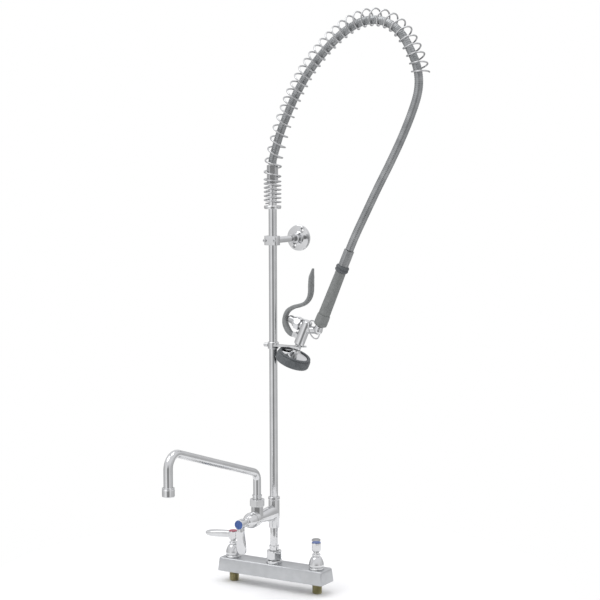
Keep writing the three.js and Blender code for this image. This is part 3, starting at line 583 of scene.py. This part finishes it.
def make_valve(name, place, turning, tip_reach, index_finish):
    """A bonnet, stem, lever and index button, standing on z = 0 with the lever along +X."""
    handle = place @ turn(turning, "Z")
    piece(f"{name}_valve_bonnet", turned([
        (16, 0.1), (16, 3.2), (15.4, 3.9), (13.9, 4.4), (13.9, 5.2), (15.2, 5.7), (15.9, 6.6),
        (15.9, 10), (15.5, 12.2), (14.9, 14.2), (14.1, 16.6), (13.2, 18.8), (12.1, 21), (10.6, 23.6),
        (9.2, 25.4), (7.4, 26.3), (7.0, 27), (8.2, 27.6), (8.6, 28.6), (8.6, 30.4), (8.1, 31.2),
        (6.0, 31.8), (5.6, 32.6), (5.6, 34.6), (4.6, 34.6), (4.6, 20.2), (9.9, 20.2), (9.9, 0.1),
        (16, 0.1),
    ], 96, 0.35), "chrome", ROOT, f"{name}_bonnet", place=place)
    hub = turned([
        (4.5, 35.2), (6.4, 35.2), (7.2, 36.2), (9.3, 38.9), (9.7, 40.2), (9.7, 53.2), (9.0, 54.4),
        (7, 54.4), (7, 47.6), (1.9, 47.6), (1.9, 45.9), (4.5, 45.9), (4.5, 35.2),
    ], 96, 0.5)
    piece(f"{name}_lever_handle", together(hub, blade(tip_reach)), "chrome", f"{name}_handle",
          f"{name}_handle", place=handle, sharp=50)
    button = turned([
        (0, 50.7), (6.4, 50.7), (6.4, 54.8), (9.2, 54.8), (9.2, 55.5), (8.5, 56), (6.6, 56.25),
        (6.1, 56.0), (0, 56.15),
    ], 72, 0.3)
    piece(f"{name}_index_button", button, index_finish, f"{name}_handle", f"{name}_index", place=handle)
    for node, finish in ((f"{name}_cartridge", "brass"), (f"{name}_stem", "brass"),
                         (f"{name}_handle_screw", "steel")):
        keep(node, finish)


def keep(node, finish):
    """Shows a CAD node as it is, with its finish."""
    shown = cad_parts[node]
    shown.data.materials.clear()
    shown.data.materials.append(FINISHES[finish])
    shown.data.shade_smooth()
    shown.data.set_sharp_from_angle(angle=math.radians(30))


# ------------------------------------------------------------------ add-on faucet and nozzle

def lying(z=ADDON["z"]):
    """Turns a shape built along +Z so that it lies along -Y at height z."""
    return at(0, 0, z) @ turn(90, "X")


def make_addon():
    bottom, top = ADDON["bottom"], ADDON["top"]
    reach = -ADDON["valve_y"]
    y = NOZZLE["y"]
    boss = turned([
        (0, bottom), (11, bottom), (11.3, bottom + 1), (11.3, top - 6.4), (11.9, top - 5.4),
        (11.9, top - 1), (11.2, top), (0, top),
    ], 96, 0.8)
    # Distance from the riser, half width and half height of the barrel.
    stations = spline([(0, 11.3, 16), (8, 11.3, 16), (16, 11.5, 15.8), (24, 11.7, 15), (32, 11.9, 13.9),
                       (40, 12, 13), (48, 12, 12.3), (56, 12, 12), (reach - 12, 12, 12)], 30)
    barrel = loft([[(a, -p.x, ADDON["z"] + b) for a, b in oval(p.y, p.z, 64, 1)] for p in stations])
    end = moved(turned([
        (0, reach - 14), (12, reach - 14), (12, reach - 11), (13, reach - 9.6), (14.8, reach - 8.6),
        (15, reach - 7.6), (15, reach - 0.8), (14.2, reach), (0, reach),
    ], 96, 0.6), lying())
    tower = moved(hexagon(12.6, ADDON["z"], 160, 0.01), at(0, y))
    bore = moved(rod(9.6, reach - 17, reach + 1), lying())
    carved("addon_casting", boss, [bore, rod(PIPE, top - 8, top + 1), rod(PIPE, bottom - 1, bottom + 8)],
           "chrome", ROOT, "addon_body", joins=[barrel, end, tower], edge=0.45, sharp=32)


def nozzle_line():
    """The nozzle's centre line as (y, z) points: up, along the rising straight, and down."""
    y, reach = NOZZLE["y"], NOZZLE["reach"]
    slope = math.radians(NOZZLE["slope"])
    points = []

    def bend(corner_y, corner_z, start, end, radius):
        turning = start - end
        tangent = radius * math.tan(turning / 2)
        y0 = corner_y + tangent * math.cos(start)
        z0 = corner_z - tangent * math.sin(start)
        centre_y, centre_z = y0 - radius * math.sin(start), z0 - radius * math.cos(start)
        for k in range(25):
            heading = start - turning * k / 24
            points.append(Vector((0, centre_y + radius * math.sin(heading),
                                  centre_z + radius * math.cos(heading))))

    points.append(Vector((0, y, 152)))
    bend(y, NOZZLE["elbow_z"], math.pi / 2, slope, 20)
    bend(y - reach, NOZZLE["elbow_z"] + reach * math.tan(slope), slope, -math.pi / 2, 26)
    points.append(Vector((0, y - reach, 250.5)))
    return evenly(points, 150)


def make_nozzle():
    y, reach = NOZZLE["y"], NOZZLE["reach"]
    clear = NOZZLE["tube"] + 0.1
    line = nozzle_line()

    def section(k):
        run = line[min(k + 1, len(line) - 1)] - line[max(k - 1, 0)]
        downward = max(0, math.atan2(-run.z, -run.y)) / (math.pi / 2)
        return circle(NOZZLE["tube"] + NOZZLE["flare"] * downward, 40)

    pipe = swept(line, section, Vector((1, 0, 0)))
    piece("nozzle_pipe", pipe, "chrome", "nozzle", "swing_nozzle")
    piece("nozzle_swivel_nut", hexagon(16.6, 160.2, 175, clear, 3.4), "chrome", ROOT, "nozzle_nut",
          place=at(0, y) @ turn(30, "Z"), sharp=25)
    piece("nozzle_sleeve", turned([
        (clear, 175.2), (9.4, 175.2), (9.0, 177), (9.0, 180.4), (9.8, 181.4), (9.8, 184), (clear, 184),
        (clear, 175.2),
    ]), "chrome", ROOT, "nozzle_collar", place=at(0, y))
    piece("nozzle_aerator", turned([
        (8.4, 238), (11.5, 238), (12, 239.2), (12, 251.4), (11.4, 252), (11.4, 253), (11.9, 253.6),
        (11.9, 254.9), (10.9, 255.5), (9.1, 255.5), (9.1, 249.5), (8.4, 249.5), (8.4, 238),
    ], 96, 0.4), "chrome", "nozzle", "nozzle_tip", place=at(0, y - reach))
    keep("nozzle_seal", "seal_rubber")


# ------------------------------------------------------------------ riser, bracket and hook

def make_riser():
    piece("riser_pipe", ring(6.2, PIPE, 157, 828, 96), "chrome", ROOT, "riser")
    piece("spring_collar", turned([
        (PIPE, 763), (16, 763), (17.3, 764.2), (17.5, 765.4), (17.5, 768.8), (16.6, 770), (PIPE, 770),
        (PIPE, 763),
    ], 96), "chrome", ROOT, "spring_seat")
    piece("hose_nut", hexagon(11.8, 815, 851.7, PIPE), "steel", ROOT, "hose_fitting", sharp=25)


def clamp_outline(near, far):
    side = math.copysign(1, far)
    wide, corner = 15.6, 6
    outline = [(-wide, near), (wide, near), (wide, far - side * corner)]
    outline += [(wide - corner + corner * math.cos(a), far - side * corner * (1 - math.sin(a)))
                for a in (math.pi / 2 * k / 8 for k in range(1, 9))]
    outline += [(corner - wide - corner * math.sin(a), far - side * corner * (1 - math.cos(a)))
                for a in (math.pi / 2 * k / 8 for k in range(9))]
    return outline


def make_bracket():
    level = at(0, 0, BRACKET_Z)
    along_y = level @ turn(-90, "X")
    bore = rod(PIPE, -12, 12)
    front = slab(clamp_outline(-0.15, -11.8), -9.5, 9.5)
    carved("clamp_front", front, [bore], "chrome", ROOT, "bracket_clamp_front", place=level, edge=1.1)
    back = slab(clamp_outline(0.15, 7), -9.5, 9.5)
    neck = moved(turned([(0, 3), (9.6, 3), (9.6, 11), (9.0, 12), (0, 12)], 72, 0.6), turn(-90, "X"))
    carved("clamp_back", back, [bore], "chrome", ROOT, "bracket_clamp_back", place=level, joins=[neck],
           edge=0.8)
    for name, side in (("left", -1), ("right", 1)):
        head = turned([
            (0, -13.6), (1.5, -13.6), (1.7, -14.6), (2.8, -14.6), (3.3, -14), (3.3, -11.9), (2.1, -11.9),
            (2.1, 6), (0, 6),
        ], 48, 0.25)
        piece(f"clamp_screw_{name}", head, "steel", ROOT, f"bracket_screw_{name}",
              place=at(side * 12) @ along_y)
    piece("bracket_rod", rod(6.4, 12.2, 98, 72), "chrome", ROOT, "bracket_arm", place=along_y)
    piece("bracket_lock_nut", hexagon(9.4, 69, 83, 6.5), "chrome", ROOT, "bracket_nut", place=along_y,
          sharp=25)
    rosette = turned([
        (0, 105), (26.4, 105), (27, 104.4), (27, 101.2), (26.7, 100.2), (25.6, 99.6), (20, 99.1),
        (14, 98.6), (11.8, 96.6), (10.6, 93), (9.8, 87), (8.7, 83.4), (6.7, 83.4), (6.7, 98.2), (0, 98.2),
    ], 96, 0.5)
    holes = []
    for degrees in (60, 240):
        across = (18.5 * math.cos(math.radians(degrees)), -18.5 * math.sin(math.radians(degrees)))
        hole = turned([(0, 94), (5.2, 94), (5.2, 99.6), (2.6, 102.6), (2.6, 106), (0, 106)], 40, 0.01)
        holes.append(moved(hole, at(*across)))
    carved("wall_rosette", rosette, holes, "chrome", ROOT, "bracket_flange", place=along_y, edge=0.2)


def make_hook():
    z = HOOK_Z
    outline = [(6, -9.5), (30, -8.5)]
    outline += [(36, -8.8), (41.5, -9.8), (45, -11.6), (48, -13.5), (52.5, -14.5), (58.4, -14.6)]
    outline += arc(69, -11.6, 3, -90, 0, 6)
    outline += [(72, -8.6)]
    outline += arc(58.4, 0, 8.6, -90, -270, 32)
    outline += [(72, 8.6)]
    outline += arc(69, 11.6, 3, 0, 90, 6)
    outline += [(58.4, 14.6), (52.5, 14.5), (48, 13.5), (45, 11.6), (41.5, 9.8), (36, 8.8), (30, 8.5),
                (6, 9.5)]
    collar = turned([
        (0, z - 5.5), (10.4, z - 5.5), (11.2, z - 4.5), (11.2, z + 7.5), (10.4, z + 8.5), (0, z + 8.5),
    ], 96, 0.5)
    carved("rinse_hook", collar, [rod(PIPE, z - 8, z + 11)], "chrome", ROOT, "finger_hook",
           joins=[slab(outline, z, z + 3)], edge=0.6, sharp=32)
    screw = turned([
        (0, 9), (2, 9), (2, 11.6), (3.6, 11.6), (4, 12.2), (4, 20.8), (3.5, 21.5), (1.8, 21.5), (1.6, 19),
        (0, 19),
    ], 48, 0.3)
    piece("hook_set_screw", screw, "steel", ROOT, "hook_screw", place=at(0, 0, z + 1.5) @ turn(-90, "Y"))


# ------------------------------------------------------------------ hose and overhead spring

def gun_point(x, z):
    tilt = math.radians(GUN["tilt"])
    return Vector((GUN["x"] + x * math.cos(tilt) + z * math.sin(tilt), 0,
                   GUN["z"] - x * math.sin(tilt) + z * math.cos(tilt)))


def in_plane(points):
    return [Vector((x, 0, z)) for x, z in points]


def make_hose():
    route = in_plane(HOSE_ROUTE) + [gun_point(0, GUN["length"] + 0.3)]
    length = line_length(spline(route, 400))
    ribs = round(length / RIB_PITCH)
    per_rib = 6
    line = spline(route, ribs * per_rib)

    def section(k):
        wave = abs(math.sin(math.pi * k / per_rib))
        return circle(HOSE_RADIUS - 0.45 + 0.45 * wave**0.6, 28)

    hose = piece("rinse_hose", swept(line, section), "hose_steel", None, "flex_hose", sharp=80)
    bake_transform(hose)
    centre = [tuple(p * MM) for p in spline(route, 160)]


def make_spring():
    points = in_plane([(0, SPRING["bottom"]), (0, 800), (0, 828),
                       *HOSE_ROUTE[:SPRING["last_point"] + 1]])
    steps = 3000
    centre = spline(points, steps)
    length = line_length(centre) - 2
    step = length / steps
    turns = [0]
    for k in range(steps):
        turns.append(turns[-1] + step / table_at(SPRING_PITCH, (k + 0.5) * step))
    per_turn = 26
    count = round(turns[-1] * per_turn)
    line = []
    k = 0
    for s in range(count + 1):
        wanted = turns[-1] * s / count
        while k < steps - 1 and turns[k + 1] < wanted:
            k += 1
        place = k + (wanted - turns[k]) / (turns[k + 1] - turns[k])
        below = min(int(place), steps - 1)
        point = centre[below].lerp(centre[below + 1], place - below)
        tangent = (centre[min(below + 1, steps)] - centre[max(below - 1, 0)]).normalized()
        outward = Vector((-tangent.z, 0, tangent.x))
        angle = TAU * wanted
        out = table_at(SPRING_OFFSET, place * step) + SPRING["radius"] * math.cos(angle)
        line.append(point + outward * out + Vector((0, SPRING["radius"] * math.sin(angle), 0)))
    outlines = []
    up = Vector((0, 1, 0))
    for k, point in enumerate(line):
        tangent = (line[min(k + 1, count)] - line[max(k - 1, 0)]).normalized()
        up = (up - tangent * up.dot(tangent)).normalized()
        across = up.cross(tangent)
        outlines.append([point + across * a + up * b for a, b in circle(SPRING["wire"], 12)])
    coil = piece("support_spring", loft(outlines), "spring_chrome", None, "overhead_spring", sharp=60)
    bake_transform(coil)


# ------------------------------------------------------------------ spray gun

GUN_PLACE = at(GUN["x"], 0, GUN["z"]) @ turn(GUN["tilt"], "Y")
HEAD_PLACE = GUN_PLACE @ at(SPRAY_X)
ACROSS = GUN_PLACE @ at(0, 0, PLUNGER_Z) @ turn(-90, "Y")


def joined_rod(start, end, radius):
    start, end = Vector(start), Vector(end)
    run = end - start
    facing = run.to_track_quat("Z", "Y").to_matrix().to_4x4()
    return moved(rod(radius, 0, run.length, 48, 0.6), Matrix.Translation(start) @ facing)


def make_spray_body():
    main = moved(turned([
        (0, -73), (7, -73), (7, -63), (7.6, -61.6), (10, -60.4), (10.5, -58.6), (10.5, -11),
        (10, -9.4), (8.2, -8), (0, -8),
    ], 96, 0.6), at(SPRAY_X))
    bridge = joined_rod((0, 0, -14), (SPRAY_X, 0, PLUNGER_Z - 6), 7.6)
    inlet = turned([(0, -14), (8.4, -14), (8.4, -5.4), (7.9, -4.4), (0, -4.4)], 72, 0.4)
    ball = turned([(9.4 * math.sin(a), -14 - 9.4 * math.cos(a)) for a in
                   (math.pi * k / 24 for k in range(25))], 72, 0.01)
    boss = moved(rod(9, 28.6, 40, 64, 0.7), at(0, 0, PLUNGER_Z) @ turn(-90, "Y"))
    ears = []
    for side in (-1, 1):
        y = side * 6.6
        outline = [(-46.9, -50.4), (-30, -50.4), (-30, -41.6), (-46.9, -41.6)]
        ears.append([(x, y - 1.6, z) for x, z in outline] + [(x, y + 1.6, z) for x, z in outline])
    faces = [[0, 1, 2, 3], [7, 6, 5, 4], [0, 4, 5, 1], [1, 5, 6, 2], [2, 6, 7, 3], [3, 7, 4, 0]]
    outlet = moved(rod(4.2, -74, -30), at(SPRAY_X))
    slot_cut = ([(x, y, z) for x in (-49, -37.6) for y in (-5, 5) for z in (-52, -39)],
                [[0, 1, 3, 2], [4, 6, 7, 5], [0, 4, 5, 1], [2, 3, 7, 6], [0, 2, 6, 4], [1, 5, 7, 3]])
    carved("spray_casting", main, [outlet, slot_cut], "chrome", "spray_gun", "spray_valve_body",
           place=GUN_PLACE, joins=[bridge, inlet, ball, boss, (ears[0], faces), (ears[1], faces)],
           edge=0.5, sharp=32)
    pin = moved(turned([(0, -8.6), (1.7, -8.6), (2, -8.2), (2, 8.2), (1.7, 8.6), (0, 8.6)], 32, 0.2),
                at(PIN[0], 0, PIN[1]) @ turn(90, "X"))
    piece("pivot_pin", pin, "steel", "spray_gun", "lever_pin", place=GUN_PLACE)


def make_plunger():
    nut = hexagon(13.7, 40.2, 52, 8.3, 2.6)
    sleeve = turned([(8.3, 51), (10.6, 51), (10.6, 56), (9.8, 57), (8.3, 57), (8.3, 51)], 72, 0.4)
    piece("packing_nut", together(nut, sleeve), "chrome", "spray_gun", "plunger_bonnet", place=ACROSS,
          sharp=25)
    piece("push_rod", turned([
        (0, 28.5), (2.6, 28.5), (2.6, 33), (4.8, 33), (4.8, 35), (2.6, 35.4), (2.6, 52.5), (8, 52.5),
        (8, 66), (7.5, 68), (6.3, 70), (4.2, 72.2), (2, 73.7), (0, 74.2),
    ], 64, 0.4), "steel", "plunger", "plunger", place=ACROSS)
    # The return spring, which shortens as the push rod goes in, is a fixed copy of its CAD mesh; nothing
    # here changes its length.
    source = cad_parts["valve_return_spring"]
    coil = object_of("return_spring", source.data.copy())
    coil.data.transform(source.matrix_world)
    finished(coil, "steel", None, ("valve_return_spring",))
    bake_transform(coil)


LEVER_LINE = [
    (-42.5, -46), (-53, -49.4), (-64.5, -45), (-74.5, -36), (-79.6, -24), (-78.8, -10), (-70, 3),
    (-58.5, 12.5), (-48.4, 23), (-44.2, 36), (-45.6, 48), (-51, 62), (-57, 78), (-60.6, 95),
]
LEVER_HALF = [
    (4.2, 4.6), (5.4, 4.6), (6.4, 5.5), (5.8, 6.2), (4.5, 6.6), (4.4, 6.8), (4.2, 7), (4, 7.2),
    (3.8, 7.4), (4, 7.8), (4.4, 8.2), (4.6, 8.4), (4.2, 7.6), (1.6, 3),
]


def make_lever():
    steps = 120
    line = spline(in_plane(LEVER_LINE), steps)
    lengths = [0]
    for a, b in zip(LEVER_LINE, LEVER_LINE[1:]):
        lengths.append(lengths[-1] + math.dist(a, b))
    thick = [(d, half[0]) for d, half in zip(lengths, LEVER_HALF)]
    wide = [(d, half[1]) for d, half in zip(lengths, LEVER_HALF)]

    def section(k):
        place = lengths[-1] * k / steps
        return oval(table_at(thick, place, False), table_at(wide, place, False), 28, 0.7)

    arm = swept(line, section)
    eye = moved(turned([
        (2.2, -4.6), (4.3, -4.6), (4.6, -4.2), (4.6, 4.2), (4.3, 4.6), (2.2, 4.6), (2.2, -4.6),
    ], 48, 0.2), at(PIN[0], 0, PIN[1]) @ turn(90, "X"))
    piece("hand_lever", together(arm, eye), "lever_grey", "lever", "squeeze_lever", place=GUN_PLACE,
          sharp=50)


def make_hold_ring():
    ring_radius, wire = 19, 1.3
    sides, rounds = 96, 16
    verts, faces = [], []
    for k in range(sides):
        angle = TAU * k / sides
        for m in range(rounds):
            tube = TAU * m / rounds
            radius = ring_radius + wire * math.cos(tube)
            verts.append((radius * math.cos(angle), radius * math.sin(angle), wire * math.sin(tube)))
            n, o = (k + 1) % sides, (m + 1) % rounds
            faces.append([k * rounds + m, n * rounds + m, n * rounds + o, k * rounds + o])
    piece("lever_hold_ring", (verts, faces), "steel", "hold_ring", "hold_ring",
          place=GUN_PLACE @ at(-9, 0, -17.5) @ turn(48, "Y"))


def make_grip():
    inner = 6.3
    keep("handle_tube", "steel")
    piece("grip_cap", turned([
        (inner, -2.5), (11.6, -2.5), (12.9, -1.7), (13.5, 0.5), (13.7, 6), (13.6, 13), (13.2, 19.5),
        (12.5, 21.4), (11.6, 22), (inner, 22), (inner, -2.5),
    ], 96, 0.6), "grip_grey", "spray_gun", "grip_collar", place=GUN_PLACE)
    first, pitch, depth = 32, 6, 0.22
    grooves = []
    for k in range(14):
        z = first + pitch * k
        radius = 12.1 - (z - 26) * 0.0153
        grooves += [(radius, z - 0.8), (radius - depth, z - 0.2), (radius - depth, z + 0.2),
                    (radius, z + 0.8)]
    piece("grip_sleeve", turned([
        (inner, 22.2), (11.6, 22.2), (12, 23), (12.1, 26), *grooves, (10.8, 114), (10.6, 117),
        (10.1, 117.7), (inner, 117.7), (inner, 22.2),
    ], 96, 0.3), "grip_grey", "spray_gun", "grip", place=GUN_PLACE)
    piece("swivel_ring", turned([
        (inner, 118), (11.4, 118), (12.8, 118.8), (13.6, 120.6), (13.6, 122.2), (13, 123.5),
        (12.2, 124.2), (13, 124.9), (13.6, 126.2), (13.6, 127.8), (12.8, 129.6), (11.4, 130.4),
        (inner, 130.4), (inner, 118),
    ], 96, 0.5), "bumper_rubber", "spray_gun", "swivel_collar", place=GUN_PLACE)
    piece("ferrule", hexagon(10.6, 130.8, 164.9, 4.6), "ferrule_steel", "hose_end", "hose_ferrule",
          place=GUN_PLACE, sharp=25)


def make_head():
    piece("spray_bell_cover", turned([
        (4.6, -73.2), (8.2, -73.2), (8.6, -75.4), (9.6, -77.6), (12.2, -79.8), (16.5, -81.8),
        (22, -83.8), (27, -85.2), (27.9, -86.2), (27.9, -95.4), (24, -95.4), (21, -90.5), (12, -84.4),
        (4.6, -80), (4.6, -73.2),
    ], 96, 0.7), "chrome", "spray_gun", "spray_bell", place=HEAD_PLACE)
    piece("bumper", turned([
        (28.1, -83.9), (31.6, -83.3), (33.2, -83.5), (33.8, -84.6), (33.8, -85.8), (33, -86.6),
        (33, -87.6), (34.6, -88.2), (35.4, -89.4), (35.5, -92), (35.5, -99.6), (35.1, -102),
        (33.8, -104.4), (31.6, -105.4), (26.6, -105.4), (24.9, -103.8), (24.9, -96), (28.1, -95.6),
        (28.1, -83.9),
    ], 120, 0.8), "bumper_rubber", "spray_gun", "bumper_ring", place=HEAD_PLACE)
    disc = turned([(0, -98.4), (23.6, -98.4), (24.2, -97.8), (24.2, -95.8), (0, -95.8)], 96, 0.3)
    holes = []
    hole_radius = 1.3
    for count, radius in ((6, 9), (12, 17)):
        for k in range(count):
            angle = TAU * k / count
            holes.append(moved(rod(hole_radius, -100, -94, 20, 0.01),
                               at(radius * math.cos(angle), radius * math.sin(angle))))
    carved("spray_disc", disc, [together(*holes)], "steel", "spray_gun", "spray_plate",
           place=HEAD_PLACE)


# ------------------------------------------------------------------ camera, light and floor

CAMERA = {
    "azimuth": 31.111, "pitch": 5.576, "roll": -0.17, "place": (1.7732, -2.8315, 0.9025), "lens": 98.4,
}


def make_camera():
    data = bpy.data.cameras.new("camera")
    data.sensor_width = 36
    data.lens = CAMERA["lens"]
    data.clip_end = 60
    camera = object_of("camera", data)
    azimuth, pitch = math.radians(CAMERA["azimuth"]), math.radians(CAMERA["pitch"])
    forward = Vector((-math.sin(azimuth) * math.cos(pitch), math.cos(azimuth) * math.cos(pitch),
                      -math.sin(pitch)))
    camera.location = CAMERA["place"]
    camera.rotation_mode = "QUATERNION"
    roll = Matrix.Rotation(math.radians(CAMERA["roll"]), 3, "Z")
    camera.rotation_quaternion = (forward.to_track_quat("-Z", "Y").to_matrix() @ roll).to_quaternion()
    bpy.context.scene.camera = camera


def area_light(name, place, target, size, power):
    data = bpy.data.lights.new(name, "AREA")
    data.shape = "RECTANGLE"
    data.size, data.size_y = size
    data.energy = power
    light = object_of(name, data)
    light.location = place
    light.rotation_mode = "QUATERNION"
    light.rotation_quaternion = (Vector(target) - Vector(place)).to_track_quat("-Z", "Y")


# Brightness round the horizon: 0.5 is behind the camera, 0 and 1 are behind the object.
HORIZON = [
    (0.0, 0.42), (0.1, 0.48), (0.16, 0.6), (0.24, 0.7), (0.32, 0.9), (0.38, 1.15), (0.43, 0.85),
    (0.465, 0.3), (0.52, 0.28), (0.56, 0.5), (0.62, 0.98), (0.68, 0.65), (0.76, 0.72), (0.86, 0.55),
    (1.0, 0.42),
]
# How far the overhead panel has taken over from the horizon, by the height of the view direction.
OVERHEAD_FADE = [(0.02, 0.0), (0.45, 1.0)]
OVERHEAD = (0.95, 0.95, 0.97, 1)


def make_world():
    """A bright studio round the object, with darker gaps between its panels for metal to show."""
    world = bpy.data.worlds.new("studio")
    bpy.context.scene.world = world
    world.use_nodes = True
    tree = world.node_tree
    tree.nodes.clear()

    def add(kind, **settings):
        node = tree.nodes.new(kind)
        for key, value in settings.items():
            setattr(node, key, value)
        return node

    def link(a, b):
        tree.links.new(a, b)

    where = add("ShaderNodeTexCoord").outputs["Generated"]
    azimuth = math.radians(CAMERA["azimuth"])
    across = add("ShaderNodeVectorMath", operation="DOT_PRODUCT")
    across.inputs[1].default_value = (math.cos(azimuth), math.sin(azimuth), 0)
    ahead = add("ShaderNodeVectorMath", operation="DOT_PRODUCT")
    ahead.inputs[1].default_value = (math.sin(azimuth), -math.cos(azimuth), 0)
    link(where, across.inputs[0])
    link(where, ahead.inputs[0])
    angle = add("ShaderNodeMath", operation="ARCTAN2")
    link(across.outputs["Value"], angle.inputs[0])
    link(ahead.outputs["Value"], angle.inputs[1])
    share = add("ShaderNodeMapRange")
    share.inputs["From Min"].default_value = -math.pi
    share.inputs["From Max"].default_value = math.pi
    link(angle.outputs[0], share.inputs["Value"])
    panels = add("ShaderNodeValToRGB")
    elements = panels.color_ramp.elements
    while len(elements) < len(HORIZON):
        elements.new(0.5)
    for element, (position, level) in zip(elements, HORIZON):
        element.position = position
        element.color = (level, level, level * 1.01, 1)
    link(share.outputs["Result"], panels.inputs["Fac"])
    split = add("ShaderNodeSeparateXYZ")
    link(where, split.inputs[0])
    height = add("ShaderNodeValToRGB")
    for element, (position, level) in zip(height.color_ramp.elements, OVERHEAD_FADE):
        element.position = position
        element.color = (level, level, level, 1)
    link(split.outputs["Z"], height.inputs["Fac"])
    mix = add("ShaderNodeMix", data_type="RGBA")
    link(height.outputs["Color"], mix.inputs["Factor"])
    link(panels.outputs["Color"], mix.inputs["A"])
    mix.inputs["B"].default_value = OVERHEAD
    studio = add("ShaderNodeBackground")
    link(mix.outputs["Result"], studio.inputs["Color"])
    studio.inputs["Strength"].default_value = 1.0
    plain = add("ShaderNodeBackground")
    plain.inputs["Color"].default_value = (1, 1, 1, 1)
    plain.inputs["Strength"].default_value = 1.0
    rays = add("ShaderNodeLightPath")
    choose = add("ShaderNodeMixShader")
    link(rays.outputs["Is Camera Ray"], choose.inputs[0])
    link(studio.outputs[0], choose.inputs[1])
    link(plain.outputs[0], choose.inputs[2])
    output = add("ShaderNodeOutputWorld")
    link(choose.outputs[0], output.inputs["Surface"])


FLOOR = {"radius": 620, "z": -23.6, "sides": 48}


def make_floor():
    n = Nodes("floor")
    n.link(n.ramp(n.noise(3, 3, 0.5), (0.3, (0.955, 0.955, 0.955)), (0.7, (0.975, 0.975, 0.975))),
           n.shader.inputs["Base Color"])
    n.span(n.noise(60, 4, 0.5), 0.7, 0.85, "Roughness")
    n.shader.inputs["Specular IOR Level"].default_value = 0.1
    step = 360 / FLOOR["sides"]
    outline = arc(0, 0, FLOOR["radius"], 0, 360 - step, FLOOR["sides"] - 1)
    mesh = mesh_of("floor", ([(x, y, FLOOR["z"]) for x, y in outline], [list(range(len(outline)))]))
    mesh.materials.append(n.material)
    object_of("floor", mesh)


def make_studio():
    make_world()
    area_light("top", (0.2, 0.2, 2.6), (0.1, 0, 0.5), (1.6, 1.2), 7)
    sun = bpy.data.lights.new("sun", "SUN")
    sun.energy = 0.62
    sun.angle = math.radians(40)
    lamp = object_of("sun", sun)
    lamp.rotation_euler = (math.radians(25), math.radians(-20), 0)
    bpy.context.scene.view_settings.view_transform = "Standard"
    bpy.context.scene.view_settings.look = "None"


# ------------------------------------------------------------------ the scene

make_camera()
make_base()
make_outlet()
make_valve("hot", at(-VALVE_X, 0, BASE["height"]), 180, 67, "index_red")
make_valve("cold", at(VALVE_X, 0, BASE["height"]), 121, 67, "index_blue")
make_valve("addon", at(0, ADDON["valve_y"], ADDON["z"]) @ turn(90, "X"), -90, 62, "index_blue")
make_addon()
make_nozzle()
make_riser()
make_bracket()
make_hook()
make_spring()
make_hose()
make_spray_body()
make_plunger()
make_lever()
make_hold_ring()
make_grip()
make_head()
make_floor()
make_studio()
